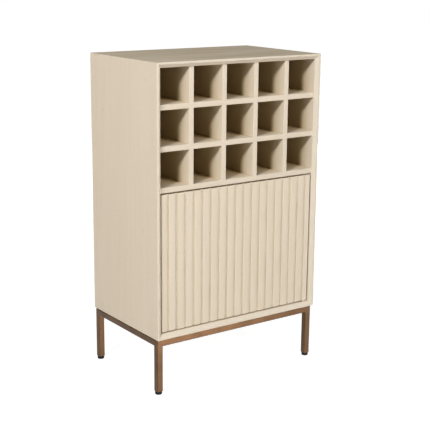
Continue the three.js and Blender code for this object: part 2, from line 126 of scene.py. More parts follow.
class Body(Enum):
    """The CAD bodies that pieces ride on, apart from the feet."""

    CABINET = "cabinet"
    DOOR = "door"
    PLUNGER = "latch_plunger"


class Slot(Enum):
    """The names of the material slots."""

    WOOD = "whitewashed_wood"
    INNER_WOOD = "inner_wood"
    BRONZE = "bronze_tube"
    STEEL = "steel"
    NYLON = "nylon"
    BLACK = "black_plastic"


@dataclass(frozen=True)
class Station:
    """One of the four places where the cabinet has a leg, a plate, a foot and a shelf peg."""

    name: str
    side: int
    end: int


STATIONS = (
    Station("front_left", -1, -1),
    Station("front_right", 1, -1),
    Station("rear_left", -1, 1),
    Station("rear_right", 1, 1),
)


# Shapes


@dataclass(frozen=True)
class Corner:
    """A corner of an outline, in mm, with the radius that it is rounded to."""

    u: float
    v: float
    radius: float = 0.0


@dataclass(frozen=True)
class Outline:
    """A closed outline in mm that runs anticlockwise.

    Args:
        corners: the outline's corners.
        steps: facets of each rounded corner.
    """

    corners: tuple[Corner, ...]
    steps: int = 4

    @classmethod
    def rectangle(
        cls, low: Sequence[float], high: Sequence[float], radius: float = 0.0, steps: int = 4
    ) -> "Outline":
        """Makes a rectangle with rounded corners.

        Args:
            low: its lowest corner.
            high: its highest corner.
            radius: the corners' radius.
            steps: facets of each corner.

        Returns:
            The outline.
        """
        places = ((low[0], low[1]), (high[0], low[1]), (high[0], high[1]), (low[0], high[1]))
        return cls(tuple(Corner(u, v, radius) for u, v in places), steps)

    @classmethod
    def stadium(cls, centre: Sequence[float], radius: float, span: float, steps: int = 10) -> "Outline":
        """Makes a slot with round ends, from its right-hand centre to one that lies `span` to the left.

        Args:
            centre: the right-hand centre.
            radius: half of the slot's width.
            span: the distance between its two centres; zero makes a circle.
            steps: facets of each quarter turn.

        Returns:
            The outline.
        """
        low = (centre[0] - span - radius, centre[1] - radius)
        high = (centre[0] + radius, centre[1] + radius)
        return cls.rectangle(low, high, radius, steps)

    def ring(self, inset: float = 0.0) -> list[Vector]:
        """Walks round the outline.

        Args:
            inset: how far every edge moves inwards.

        Returns:
            The outline's points, as many for any inset.
        """
        points: list[Vector] = []
        for index, corner in enumerate(self.corners):
            before, after = self.corners[index - 1], self.corners[(index + 1) % len(self.corners)]
            here = Vector((corner.u, corner.v))
            inward = (here - Vector((before.u, before.v))).normalized()
            onward = (Vector((after.u, after.v)) - here).normalized()
            left_in, left_on = Vector((-inward.y, inward.x)), Vector((-onward.y, onward.x))
            tip = here + (left_in + left_on) * inset / (1 + left_in.dot(left_on))
            turn = math.atan2(inward.x * onward.y - inward.y * onward.x, inward.dot(onward))
            if corner.radius <= 0:
                points.append(tip)
                continue
            bend = math.copysign(1, turn)
            radius = max(corner.radius - bend * inset, LEAST_RADIUS)
            start = tip - inward * radius * math.tan(abs(turn) / 2)
            centre = start + left_in * bend * radius
            spoke = start - centre
            for step in range(self.steps + 1):
                angle = turn * step / self.steps
                turned = Vector((
                    spoke.x * math.cos(angle) - spoke.y * math.sin(angle),
                    spoke.x * math.sin(angle) + spoke.y * math.cos(angle),
                ))
                points.append(centre + turned)
        return points


def eased_ends(
    low: float, high: float, low_ease: float, high_ease: float, steps: int = 3
) -> list[tuple[float, float]]:
    """Rounds both ends of a prism.

    Args:
        low: where it starts along its length.
        high: where it ends.
        low_ease: the radius of the rounding at its start; zero leaves it sharp.
        high_ease: the radius at its end.
        steps: facets of each rounding.

    Returns:
        Pairs of a place along the length and the outline's inset there.
    """
    quarter = [math.pi / 2 * step / steps for step in range(steps + 1)]
    start = [(low + low_ease * (1 - math.cos(a)), low_ease * (1 - math.sin(a))) for a in quarter]
    end = [(high - high_ease * (1 - math.cos(a)), high_ease * (1 - math.sin(a))) for a in reversed(quarter)]
    return (start if low_ease > 0 else [(low, 0.0)]) + (end if high_ease > 0 else [(high, 0.0)])


@dataclass(frozen=True)
class Prism:
    """A solid with one outline along an axis, wider or narrower by an inset at places along it.

    Args:
        outline: the outline across the axis.
        stations: pairs of a place along the axis and the inset there, in mm.
        axis: the axis that it lies along.
        centre: how far the whole solid is moved, as a point in mm.
    """

    outline: Outline
    stations: Sequence[tuple[float, float]]
    axis: Axis = Axis.Z
    centre: Point = (0.0, 0.0, 0.0)

    def add_to(self, mesh: Mesh) -> None:
        """Adds the solid to a mesh.

        Args:
            mesh: the mesh that takes it.
        """
        rings = []
        shift = Vector(self.centre) * MM
        for along, inset in self.stations:
            points = self.outline.ring(inset)
            rings.append([mesh.verts.new(self.axis.place(p.x, p.y, along) + shift) for p in points])
        count = len(rings[0])
        for lower, upper in zip(rings, rings[1:]):
            for i in range(count):
                j = (i + 1) % count
                mesh.faces.new((lower[i], lower[j], upper[j], upper[i]))
        mesh.faces.new(rings[0][::-1])
        mesh.faces.new(rings[-1])


@dataclass(frozen=True)
class Turned:
    """A round solid made by turning an outline of radius and height about an axis.

    Args:
        outline: the half section, radius first; its points on the axis close the solid.
        centre: where the height is zero, as a point in mm.
        axis: the axis that it is turned about.
        way: 1 where the height runs along the axis, -1 where it runs against it.
        sides: facets round the axis.
    """

    outline: Outline
    centre: Point
    axis: Axis = Axis.Z
    way: int = 1
    sides: int = 48

    def add_to(self, mesh: Mesh) -> None:
        """Adds the solid to a mesh.

        Args:
            mesh: the mesh that takes it.
        """
        shift = Vector(self.centre) * MM
        rings = []
        for point in self.outline.ring():
            turns = range(self.sides) if point.x > LEAST_RADIUS / 2 else range(1)
            radius = point.x if len(turns) > 1 else 0.0
            ring = []
            for turn in turns:
                angle = 2 * math.pi * turn / self.sides
                across, upward = radius * math.cos(angle), radius * math.sin(angle)
                place = self.axis.place(across, upward, point.y * self.way)
                ring.append(mesh.verts.new(place + shift))
            rings.append(ring)
        for index, lower in enumerate(rings):
            upper = rings[(index + 1) % len(rings)]
            for i in range(self.sides):
                j = (i + 1) % self.sides
                below = (lower[i % len(lower)], lower[j % len(lower)])
                above = (upper[j % len(upper)], upper[i % len(upper)])
                distinct = list(dict.fromkeys((*below, *above)))
                if len(distinct) > 2:
                    mesh.faces.new(distinct)


Shape = Prism | Turned


def mesh_of(shapes: Iterable[Shape]) -> Mesh:
    """Makes one clean mesh of solids that don't overlap.

    Args:
        shapes: the solids.

    Returns:
        The mesh, with doubled points merged and all its faces looking outwards.
    """
    mesh = bmesh.new()
    for shape in shapes:
        shape.add_to(mesh)
    return tidied(mesh)


def tidied(mesh: Mesh) -> Mesh:
    """Merges a mesh's doubled points and turns its faces outwards.

    Args:
        mesh: the mesh, which is changed.

    Returns:
        The same mesh.
    """
    bmesh.ops.remove_doubles(mesh, verts=mesh.verts, dist=WELD_DISTANCE)
    bmesh.ops.dissolve_degenerate(mesh, edges=mesh.edges, dist=WELD_DISTANCE)
    bmesh.ops.recalc_face_normals(mesh, faces=mesh.faces)
    return mesh


def make_object(name: str, mesh: Mesh) -> Object:
    """Makes a Blender object of a mesh and frees the mesh.

    Args:
        name: the object's name.
        mesh: its shape.

    Returns:
        The object, in the scene.
    """
    data = bpy.data.meshes.new(name)
    mesh.to_mesh(data)
    mesh.free()
    piece = bpy.data.objects.new(name, data)
    bpy.context.scene.collection.objects.link(piece)
    return piece


def carve(piece: Object, shapes: Iterable[Shape], carving: Carving = Carving.CUT) -> Object:
    """Cuts solids out of a piece, or joins them to it.

    Args:
        piece: the piece, whose mesh is changed.
        shapes: solids that don't overlap one another.
        carving: whether they are cut out or joined.

    Returns:
        The same piece.
    """
    tool = make_object("carving_tool", mesh_of(shapes))
    modifier = piece.modifiers.new("carving", "BOOLEAN")
    modifier.object, modifier.operation, modifier.solver = tool, carving.value, "EXACT"
    evaluated = piece.evaluated_get(bpy.context.evaluated_depsgraph_get())
    result = bpy.data.meshes.new_from_object(evaluated)
    piece.modifiers.clear()
    before, piece.data = piece.data, result
    result.name = piece.name
    bpy.data.meshes.remove(before)
    bpy.data.meshes.remove(tool.data)
    return piece


def slab(
    low: Sequence[float], high: Sequence[float], ease: float, axis: Axis = Axis.Z, radius: float | None = None
) -> Prism:
    """Makes a block with eased edges.

    Args:
        low: its lowest corner in mm.
        high: its highest corner.
        ease: the radius of the edges at its two ends.
        axis: the axis that it lies along.
        radius: the radius of its long edges, where that isn't `ease`.

    Returns:
        The block.
    """
    across, upward = {Axis.X: (1, 2), Axis.Y: (2, 0), Axis.Z: (0, 1)}[axis]
    long_edges = ease if radius is None else radius
    outline = Outline.rectangle((low[across], low[upward]), (high[across], high[upward]), long_edges, 3)
    return Prism(outline, eased_ends(low[axis.value], high[axis.value], ease, ease), axis)


def drilled(
    radius: float, centre: Point, depth: float, axis: Axis = Axis.Z, way: int = 1, sides: int = 32
) -> Turned:
    """Makes the tool for a blind hole.

    Args:
        radius: the hole's radius.
        centre: where it enters, in mm.
        depth: how deep it goes.
        axis: the axis that it is drilled along.
        way: 1 along the axis, -1 against it.
        sides: its facets.

    Returns:
        The tool.
    """
    outline = Outline((
        Corner(0, -OVERCUT), Corner(radius, -OVERCUT), Corner(radius, depth), Corner(0, depth),
    ))
    return Turned(outline, centre, axis, way, sides)


# Finishes


def linear_from_hex(code: str) -> tuple[float, float, float, float]:
    """Turns an sRGB hex colour to a linear one.

    Args:
        code: the colour, such as "#E2D4BF".

    Returns:
        Red, green, blue and an alpha of 1.
    """
    shares = (int(code[i : i + 2], 16) / 255 for i in (1, 3, 5))
    return (*(s / 12.92 if s <= 0.04045 else ((s + 0.055) / 1.055) ** 2.4 for s in shares), 1.0)


def add_node(
    tree: Tree,
    kind: str,
    settings: dict[str, Any] | None = None,
    inputs: dict[str | int, Any] | None = None,
) -> bpy.types.Node:
    """Adds a node with its settings, constants and links.

    Args:
        tree: the tree that takes the node.
        kind: the node's type.
        settings: its properties.
        inputs: by socket name or number, a constant, or the output socket that feeds it.

    Returns:
        The node.
    """
    node = tree.nodes.new(kind)
    for name, value in (settings or {}).items():
        setattr(node, name, value)
    for key, value in (inputs or {}).items():
        if isinstance(value, Socket):
            tree.links.new(value, node.inputs[key])
        else:
            node.inputs[key].default_value = value
    return node


# A colour Mix node's factor, first and second colour, and its result
MIX_FACTOR, MIX_FIRST, MIX_SECOND, MIX_RESULT = 0, 6, 7, 2

# Settings that several nodes share
COLOUR_MIX = {"data_type": "RGBA"}
SMOOTH_RANGE = {"interpolation_type": "SMOOTHSTEP"}


@dataclass(frozen=True)
class Finish:
    """What a surface is made of. Each finish fills in one material's nodes."""

    name: str

    def material(self) -> bpy.types.Material:
        """Makes the finish's material, unless it was made before.

        Returns:
            The material.
        """
        made = bpy.data.materials.get(self.name)
        if made is None:
            made = bpy.data.materials.new(self.name)
            made.use_nodes = True
            made.node_tree.nodes.clear()
            surface = self.surface(made.node_tree)
            add_node(made.node_tree, "ShaderNodeOutputMaterial", {}, {"Surface": surface})
        return made

    def surface(self, tree: Tree) -> Socket:
        """Makes the shader; each kind of finish has its own.

        Args:
            tree: the material's node tree.

        Returns:
            The shader's output.
        """
        raise NotImplementedError

    def speckle(self, tree: Tree, size: float, detail: float) -> Socket:
        """Makes noise that runs no particular way.

        Args:
            tree: the material's node tree.
            size: the width of its features, in mm.
            detail: how many finer layers it has.

        Returns:
            The noise's socket, around a half.
        """
        place = add_node(tree, "ShaderNodeTexCoord").outputs["Object"]
        inputs = {"Vector": place, "Scale": 1 / (size * MM), "Detail": detail}
        return add_node(tree, "ShaderNodeTexNoise", {}, inputs).outputs[0]

    def clouded(
        self, tree: Tree, noise: Socket, low: float, first: str, second: str, high: float = 0.7
    ) -> Socket:
        """Lets one tone pass softly into another.

        Args:
            tree: the material's node tree.
            noise: what sets the patches.
            low: the noise where the second tone starts.
            first: the first tone.
            second: the second tone.
            high: the noise from which on only the second tone shows.

        Returns:
            The colour's socket.
        """
        inputs = {"Value": noise, "From Min": low, "From Max": high}
        share = add_node(tree, "ShaderNodeMapRange", SMOOTH_RANGE, inputs).outputs[0]
        inputs = {MIX_FACTOR: share, MIX_FIRST: linear_from_hex(first), MIX_SECOND: linear_from_hex(second)}
        return add_node(tree, "ShaderNodeMix", COLOUR_MIX, inputs).outputs[MIX_RESULT]


@dataclass(frozen=True)
class LimewashedMango(Finish):
    """Planed mango boards under a cream limewash and a matt clear lacquer.

    The wash is thin, so that soft streaks of the wood's own tone, its open pores and a few pin knots
    show through it, and the matt lacquer keeps every highlight broad and faint.

    Args:
        name: the material's name.
        grain: the way that the board's grain runs.
        face: the axis across the board's thickness.
        shift: how far its figure is moved, in the width and length of its features, so that no two
            boards have the same.
        streaks: how strongly the streaks show.
        streak_width: their width in mm.
        pores: how strongly the open pores show.
        knots: how strongly the pin knots show.
        knot_spacing: how far apart they are in mm, on the whole.
        knot_shares: a knot's radius and that of its dark middle, as shares of the spacing.
        fibre_size: a fibre's width and length in mm. Real ones are finer; these are as coarse as one
            pixel of the picture needs.
        pore_size: an open pore's width and length in mm.
        streak_stretch: a streak's length, in streak widths.
        band_stretch: the width and length of the broad bands that streaks lie in, in streak widths.
        wash: the limewash.
        tone: the wood's tone where the wash is thin.
        pore: the bottom of the open pores.
        mouth: the Y in mm of the mouth of a deep cell, from which painted shade darkens the wash towards the
            back, if there is one.
        cell_shade_tone: the darker wood tone that is painted deep in the cell as shade.
        cell_shade_share: how much of that painted shade shows there.
        cell_shade_reach: how far past the mouth the painted shade starts, and where it is full, in mm.
        cells_above: the height in mm that the cells stand above; below it there is no painted shade.
    """

    grain: Axis = Axis.X
    face: Axis = Axis.Z
    shift: float = 0.0
    streaks: float = 0.5
    streak_width: float = 13.0
    pores: float = 0.35
    knots: float = 0.0
    knot_spacing: float = 260.0
    knot_shares: tuple[float, float] = (0.032, 0.012)
    fibre_size: tuple[float, float] = (1.6, 40.0)
    pore_size: tuple[float, float] = (1.1, 6.0)
    streak_stretch: float = 23.0
    band_stretch: tuple[float, float] = (6.0, 38.0)
    wash: str = "#E0D2BD"
    tone: str = "#D6C8B2"
    pore: str = "#8A7053"
    mouth: float | None = None
    # Painted shade deep in the cells: its tone, its share and its reach
    cell_shade_tone: str = "#B8A580"
    cell_shade_share: float = 1.0
    cell_shade_reach: tuple[float, float] = (6.0, 72.0)
    cells_above: float = 0.0

    def figure(self, tree: Tree, across: float, along: float, detail: float) -> Socket:
        """Makes noise that is stretched along the grain.

        Args:
            tree: the material's node tree.
            across: the width of its features, in mm.
            along: their length, in mm.
            detail: how many finer layers it has.

        Returns:
            The noise's socket, around a half.
        """
        inputs = {
            "Vector": add_node(tree, "ShaderNodeTexCoord").outputs["Object"],
            "Location": Vector((1.0, 1.3, 1.7)) * self.shift,
            "Scale": self.grain.stretch(across * MM, along * MM),
        }
        mapping = add_node(tree, "ShaderNodeMapping", {}, inputs)
        inputs = {"Vector": mapping.outputs[0], "Scale": 1.0, "Detail": detail, "Roughness": 0.55}
        return add_node(tree, "ShaderNodeTexNoise", {}, inputs).outputs[0]

    def pin_knots(self, tree: Tree) -> Socket:
        """Makes faint round knots, scattered over the board's face.

        Args:
            tree: the material's node tree.

        Returns:
            The share of a knot's tone.
        """
        place = add_node(tree, "ShaderNodeTexCoord").outputs["Object"]
        parts = add_node(tree, "ShaderNodeSeparateXYZ", {}, {0: place})
        flat = [parts.outputs[axis.value] for axis in Axis if axis is not self.face]
        plane = add_node(tree, "ShaderNodeCombineXYZ", {}, dict(enumerate(flat)))
        inputs = {
            "Vector": plane.outputs[0],
            "Location": Vector((0.37, 0.83, 0)) * (1 + self.shift),
            "Scale": Vector((1, 1, 1)) / (self.knot_spacing * MM),
        }
        mapping = add_node(tree, "ShaderNodeMapping", {}, inputs)
        inputs = {"Vector": mapping.outputs[0], "Scale": 1.0}
        cells = add_node(tree, "ShaderNodeTexVoronoi", {"voronoi_dimensions": "2D"}, inputs)
        rim, middle = self.knot_shares
        inputs = {
            "Value": cells.outputs["Distance"], "From Min": rim, "From Max": middle, "To Max": self.knots,
        }
        return add_node(tree, "ShaderNodeMapRange", SMOOTH_RANGE, inputs).outputs[0]

    def painted_cell_shade(self, tree: Tree) -> Socket:
        """Makes the share of the painted cell shade, which grows with the depth of a cell.

        Args:
            tree: the material's node tree.

        Returns:
            The share's socket.
        """
        place = add_node(tree, "ShaderNodeTexCoord").outputs["Object"]
        _, depth, rise = add_node(tree, "ShaderNodeSeparateXYZ", {}, {0: place}).outputs
        near, far = ((self.mouth + reach) * MM for reach in self.cell_shade_reach)
        inputs = {"Value": depth, "From Min": near, "From Max": far, "To Max": self.cell_shade_share}
        inside = add_node(tree, "ShaderNodeMapRange", SMOOTH_RANGE, inputs).outputs[0]
        sill = self.cells_above * MM
        inputs = {"Value": rise, "From Min": sill - MM, "From Max": sill, "To Max": inside}
        return add_node(tree, "ShaderNodeMapRange", SMOOTH_RANGE, inputs).outputs[0]

    def surface(self, tree: Tree) -> Socket:
        """Makes the limewashed wood.

        Args:
            tree: the material's node tree.

        Returns:
            The shader's output.
        """
        tone, pore = linear_from_hex(self.tone), linear_from_hex(self.pore)
        width = self.streak_width
        band_width, band_length = (width * share for share in self.band_stretch)
        fibre = self.figure(tree, *self.fibre_size, 3)
        # Each layer's noise, the noise at which it starts and at which it is strongest, and its strength
        layers = (
            (self.figure(tree, width, width * self.streak_stretch, 3), 0.36, 0.7, self.streaks),
            (self.figure(tree, band_width, band_length, 2), 0.35, 0.68, self.streaks * 0.6),
            (fibre, 0.45, 0.75, self.streaks * 0.4),
        )
        covers = []
        for noise, low, high, most in layers:
            inputs = {"Value": noise, "From Min": low, "From Max": high, "To Max": most}
            covers.append((add_node(tree, "ShaderNodeMapRange", SMOOTH_RANGE, inputs).outputs[0], tone))
        inputs = {"Value": self.figure(tree, *self.pore_size, 1), "From Min": 0.69, "From Max": 0.78}
        opened = add_node(tree, "ShaderNodeMapRange", SMOOTH_RANGE, inputs).outputs[0]
        inputs = {0: opened, 1: self.pores}
        covers.append((add_node(tree, "ShaderNodeMath", {"operation": "MULTIPLY"}, inputs).outputs[0], pore))
        if self.knots > 0:
            covers.append((self.pin_knots(tree), pore))
        # Painted shade: the wash darkens to a barer wood tone deep in the cells
        if self.mouth is not None:
            covers.append((self.painted_cell_shade(tree), linear_from_hex(self.cell_shade_tone)))
        colour = linear_from_hex(self.wash)
        for share, cover in covers:
            inputs = {MIX_FACTOR: share, MIX_FIRST: colour, MIX_SECOND: cover}
            colour = add_node(tree, "ShaderNodeMix", COLOUR_MIX, inputs).outputs[MIX_RESULT]
        height = add_node(tree, "ShaderNodeMath", {"operation": "SUBTRACT"}, {0: fibre, 1: opened})
        inputs = {"Strength": 0.2, "Distance": 0.12 * MM, "Height": height.outputs[0]}
        bump = add_node(tree, "ShaderNodeBump", {}, inputs).outputs[0]
        inputs = {
            "Base Color": colour, "Roughness": 0.8, "IOR": 1.5, "Specular IOR Level": 0.12, "Normal": bump,
        }
        return add_node(tree, "ShaderNodeBsdfPrincipled", {}, inputs).outputs[0]


@dataclass(frozen=True)
class BronzeLacqueredSteel(Finish):
    """Mild-steel tube, welded, ground flush and sprayed with a satin bronze lacquer.

    The metal flakes in the lacquer give a warm, broad sheen, and the spray leaves a very fine orange peel.

    Args:
        name: the material's name.
        lacquer: the lacquer's colour.
        shade: the tone of its thinner patches.
        patch_size: how wide those are, in mm.
        peel_size: the width of one dimple of the orange peel, in mm.
    """

    lacquer: str = "#604935"
    shade: str = "#55412F"
    patch_size: float = 60.0
    peel_size: float = 1.2

    def surface(self, tree: Tree) -> Socket:
        """Makes the lacquered steel.

        Args:
            tree: the material's node tree.

        Returns:
            The shader's output.
        """
        patches = self.speckle(tree, self.patch_size, 3)
        inputs = {"Value": patches, "To Min": 0.4, "To Max": 0.52}
        rough = add_node(tree, "ShaderNodeMapRange", {}, inputs).outputs[0]
        peel = self.speckle(tree, self.peel_size, 2)
        inputs = {"Strength": 0.2, "Distance": 0.05 * MM, "Height": peel}
        bump = add_node(tree, "ShaderNodeBump", {}, inputs).outputs[0]
        colour = self.clouded(tree, patches, 0.35, self.lacquer, self.shade)
        inputs = {"Base Color": colour, "Metallic": 0.92, "Roughness": rough, "Normal": bump}
        return add_node(tree, "ShaderNodeBsdfPrincipled", {}, inputs).outputs[0]


@dataclass(frozen=True)
class ZincPlatedSteel(Finish):
    """Turned and pressed steel fittings with zinc plating, bright but softly clouded.

    Args:
        name: the material's name.
        plating: the zinc's colour.
        cloud: its tone where it is clouded.
        cloud_size: how wide the clouds are, in mm.
    """

    plating: str = "#B9BBBC"
    cloud: str = "#9FA1A3"
    cloud_size: float = 4.0

    def surface(self, tree: Tree) -> Socket:
        """Makes the plated steel.

        Args:
            tree: the material's node tree.

        Returns:
            The shader's output.
        """
        clouds = self.speckle(tree, self.cloud_size, 4)
        inputs = {"Value": clouds, "To Min": 0.26, "To Max": 0.4}
        rough = add_node(tree, "ShaderNodeMapRange", {}, inputs).outputs[0]
        colour = self.clouded(tree, clouds, 0.3, self.plating, self.cloud)
        inputs = {"Base Color": colour, "Metallic": 1.0, "Roughness": rough}
        return add_node(tree, "ShaderNodeBsdfPrincipled", {}, inputs).outputs[0]


@dataclass(frozen=True)
class MouldedPlastic(Finish):
    """Injection-moulded plastic with a fine spark-eroded grain that keeps it matt.

    Args:
        name: the material's name.
        colour: the plastic's colour.
        grain_colour: its tone in the grain's hollows.
        roughness: its roughness.
        index: its refractive index.
        shine: how much of its full reflection is left, 0.5 for all of it.
        grain_size: the width of one grain of its texture, in mm. A real one is finer; this is as coarse
            as it needs to show.
    """

    colour: str = "#141313"
    grain_colour: str = "#1E1D1C"
    roughness: float = 0.55
    index: float = 1.49
    shine: float = 0.5
    grain_size: float = 0.5

    def surface(self, tree: Tree) -> Socket:
        """Makes the moulded plastic.

        Args:
            tree: the material's node tree.

        Returns:
            The shader's output.
        """
        grain = self.speckle(tree, self.grain_size, 2)
        inputs = {"Strength": 0.3, "Distance": 0.03 * MM, "Height": grain}
        bump = add_node(tree, "ShaderNodeBump", {}, inputs).outputs[0]
        inputs = {
            "Base Color": self.clouded(tree, grain, 0.3, self.colour, self.grain_colour),
            "Roughness": self.roughness,
            "IOR": self.index,
            "Specular IOR Level": self.shine,
            "Normal": bump,
        }
        return add_node(tree, "ShaderNodeBsdfPrincipled", {}, inputs).outputs[0]


INNER_TONES = {"wash": "#D9CBB5", "tone": "#C6B59B"}  # the thinner wash of the back and the loose shelf
# A darker mango painted as shade into the seams round the door: the door's top and hinge edge and the rack's
# underside
SEAM_SHADE_MANGO = LimewashedMango(
    "mango_painted_seam_shade", Axis.X, Axis.Z, 21.0, 0.6, wash="#B59D7C", tone="#A38966", pore="#66503A"
)
BRONZE = BronzeLacqueredSteel("bronze_lacquered_steel")
ZINC = ZincPlatedSteel("zinc_plated_steel")
NYLON = MouldedPlastic("natural_nylon", "#E2E0DA", "#D8D5CE", 0.45, 1.53)
POLYPROPYLENE = MouldedPlastic("black_polypropylene", roughness=0.7, shine=0.2)


# Placing pieces


def settle(
    piece: Object,
    body: str,
    nodes: Sequence[str],
    finishes: Sequence[Finish],
    plain: bool = False,
) -> Object:
    """Gives a piece its finish and smooth edges, and puts it on its body.

    Args:
        piece: the piece, in place.
        body: the CAD body that it rides on.
        nodes: the CAD nodes that it stands for.
        finishes: its finishes, in the order of its faces' material numbers.
        plain: whether it goes without the modifier that evens the shading of large faces.

    Returns:
        The same piece.
    """
    data = piece.data
    numbers = [face.material_index for face in data.polygons]
    data.materials.clear()
    for finish in finishes:
        data.materials.append(finish.material())
    for face, number in zip(data.polygons, numbers):
        face.material_index = min(number, len(finishes) - 1)
        face.use_smooth = True
    data.set_sharp_from_angle(angle=SMOOTH_ANGLE)
    if not plain:
        normals = piece.modifiers.new("even_shading", "WEIGHTED_NORMAL")
        normals.keep_sharp = True
    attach(piece, body)
    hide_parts(*nodes)
    low = [min(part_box(node)[0][axis] for node in nodes) for axis in range(3)]
    high = [max(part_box(node)[1][axis] for node in nodes) for axis in range(3)]
    places = list(piece.bound_box)
    off = max(
        max(abs(min(p[axis] for p in places) - low[axis]), abs(max(p[axis] for p in places) - high[axis]))
        for axis in range(3)
    )
    log.info("%s: %d faces, within %.2f mm of its CAD box", piece.name, len(data.polygons), off / MM)
    return piece


@dataclass(frozen=True)
class ScrewSize:
    """A screw's sizes in mm: its head's width and depth, and its shank's width and length."""

    head: float
    depth: float
    shank: float
    length: float


class ScrewKind(Enum):
    """The screws that the cabinet needs. A countersunk one is as long as its whole length."""

    COUNTERSUNK = ScrewSize(6.0, 1.5, 3.0, 11.0)
    LATCH_PAN = ScrewSize(7.0, 2.2, 3.5, 12.0)
    BASE_PAN = ScrewSize(9.0, 2.8, 4.5, 14.0)

    def pilot(self, centre: Point, depth: float, axis: Axis = Axis.Z, way: int = 1) -> Turned:
        """Makes the tool for the hole that the screw's shank bites in.

        Args:
            centre: where it enters, in mm.
            depth: how deep it goes.
            axis: the axis that it is drilled along.
            way: 1 along the axis, -1 against it.

        Returns:
            The tool.
        """
        return drilled(self.value.shank / 2 + CLEARANCE, centre, depth, axis, way)


def countersunk(rim: float, centre: Point, depth: float, axis: Axis = Axis.Z, way: int = 1) -> Turned:
    """Makes the tool for a countersunk screw's hole through a plate.

    Args:
        rim: its radius at the plate's face.
        centre: where it enters, in mm.
        depth: how deep it goes.
        axis: the axis that it is drilled along.
        way: 1 along the axis, -1 against it.

    Returns:
        The tool.
    """
    size = ScrewKind.COUNTERSUNK.value
    hole, neck = size.shank / 2 + 2 * CLEARANCE, size.depth + CLEARANCE
    outline = Outline((
        Corner(0, -OVERCUT), Corner(rim, -OVERCUT), Corner(rim, CLEARANCE), Corner(hole, neck),
        Corner(hole, depth), Corner(0, depth),
    ))
    return Turned(outline, centre, axis, way)


@dataclass(frozen=True)
class Screw:
    """A screw with a cross recess, drawn from its head's face towards its point.

    Args:
        name: the piece's name.
        node: the CAD node that it stands for.
        centre: the middle of the head's face, in mm.
        axis: the axis that the screw lies along.
        way: 1 where its point looks along the axis, -1 where it looks against it.
        kind: which screw it is.
        dome_share: the radius of a pan head's dome, as a share of its depth.
        recess_shares: the recess's half length, half width and depth, as shares of the head's width.
        recess_start: how far outside the head the tool for the recess starts, in mm.
        rim_ease: the radius of a countersunk head's rim, in mm.
        neck_ease: the radius where its cone meets the shank.
        pan_ease: the radius of a pan head's lower rim.
    """

    name: str
    node: str
    centre: Point
    axis: Axis
    way: int
    kind: ScrewKind = ScrewKind.COUNTERSUNK
    dome_share: float = 0.75
    recess_shares: tuple[float, float, float] = (0.29, 0.075, 0.2)
    recess_start: float = 0.5
    rim_ease: float = 0.12
    neck_ease: float = 0.2
    pan_ease: float = 0.15

    def outline(self) -> Outline:
        """Draws the screw's half section.

        Returns:
            The section, with its height from the head's face.
        """
        size = self.kind.value
        head, depth, shank, length = size.head / 2, size.depth, size.shank / 2, size.length
        if self.kind is ScrewKind.COUNTERSUNK:
            return Outline((
                Corner(0, 0), Corner(head, 0, self.rim_ease), Corner(shank, depth, self.neck_ease),
                Corner(shank, length - shank), Corner(0, length),
            ))
        return Outline((
            Corner(0, 0), Corner(head, 0, depth * self.dome_share), Corner(head, depth, self.pan_ease),
            Corner(shank, depth), Corner(shank, depth + length - shank), Corner(0, depth + length),
        ), 6)

    def recess(self) -> Prism:
        """Makes the tool that cuts the cross recess, narrower towards its floor.

        Returns:
            The tool.
        """
        arm, half, depth = (self.kind.value.head * share for share in self.recess_shares)
        corners = []
        for index, (a, b) in enumerate(((1, 1), (-1, 1), (-1, -1), (1, -1))):
            square = [(arm * a, half * b), (half * a, half * b), (half * a, arm * b)]
            corners += square if index % 2 == 0 else square[::-1]
        stations = [(-self.recess_start * self.way, 0.0), (depth * self.way, half / 2)]
        return Prism(Outline(tuple(Corner(u, v) for u, v in corners)), stations, self.axis, self.centre)

    def build(self, body: str) -> Object:
        """Makes the screw.

        Args:
            body: the CAD body that it rides on.

        Returns:
            The screw.
        """
        turned = Turned(self.outline(), self.centre, self.axis, self.way, 40)
        piece = make_object(self.name, mesh_of([turned]))
        carve(piece, [self.recess()])
        return settle(piece, body, [self.node], [ZINC], True)


# Case


class BoardFace(Enum):
    """The faces of a case board, numbered in the order of its finishes."""

    EDGE = 0
    INSIDE = 1
    OUTSIDE = 2
    BEVEL = 3


class Streaking(Enum):
    """How plainly the wood's streaks show on a board's outer face: their strength and their tone."""

    SOFT = (0.25, "#D6C8B2")
    STRONG = (0.75, "#C4B493")


@dataclass(frozen=True)
class Board:
    """One board of the case, with its own wood figure, and edge and bevel washes that carry painted light and
    shade.

    Args:
        name: the piece's name.
        side: its CAD node's name, without the word panel.
        facing: the way that its outer face looks, as X and Z.
        grain: the way that its grain runs.
        shift: what sets its figure apart.
        streaking: how its outer face is streaked.
        edge: the wash on its front edge, lighter or darker per board as painted light and shade.
        bevel: the wash on its bevel, lighter or darker per board as painted light and shade.
    """

    name: str
    side: str
    facing: tuple[int, int]
    grain: Axis
    shift: float
    streaking: Streaking
    edge: str
    bevel: str


# The edge and bevel washes differ per board as painted light and shade: the left bevel is painted lighter,
# the right board's edge and bevel darker
BOARDS = (
    Board("case_top_board", "top", (0, 1), Axis.X, 0.0, Streaking.STRONG, "#DED2BE", "#E0D2BD"),
    Board("case_bottom_board", "bottom", (0, -1), Axis.X, 2.1, Streaking.STRONG, "#E3D9C7", "#DCD1BE"),
    Board("case_left_board", "left_side", (-1, 0), Axis.Z, 4.4, Streaking.SOFT, "#E0D6C4", "#F4E5CC"),
    Board("case_right_board", "right_side", (1, 0), Axis.Z, 7.3, Streaking.SOFT, "#DBCEBA", "#D1C8B7"),
)


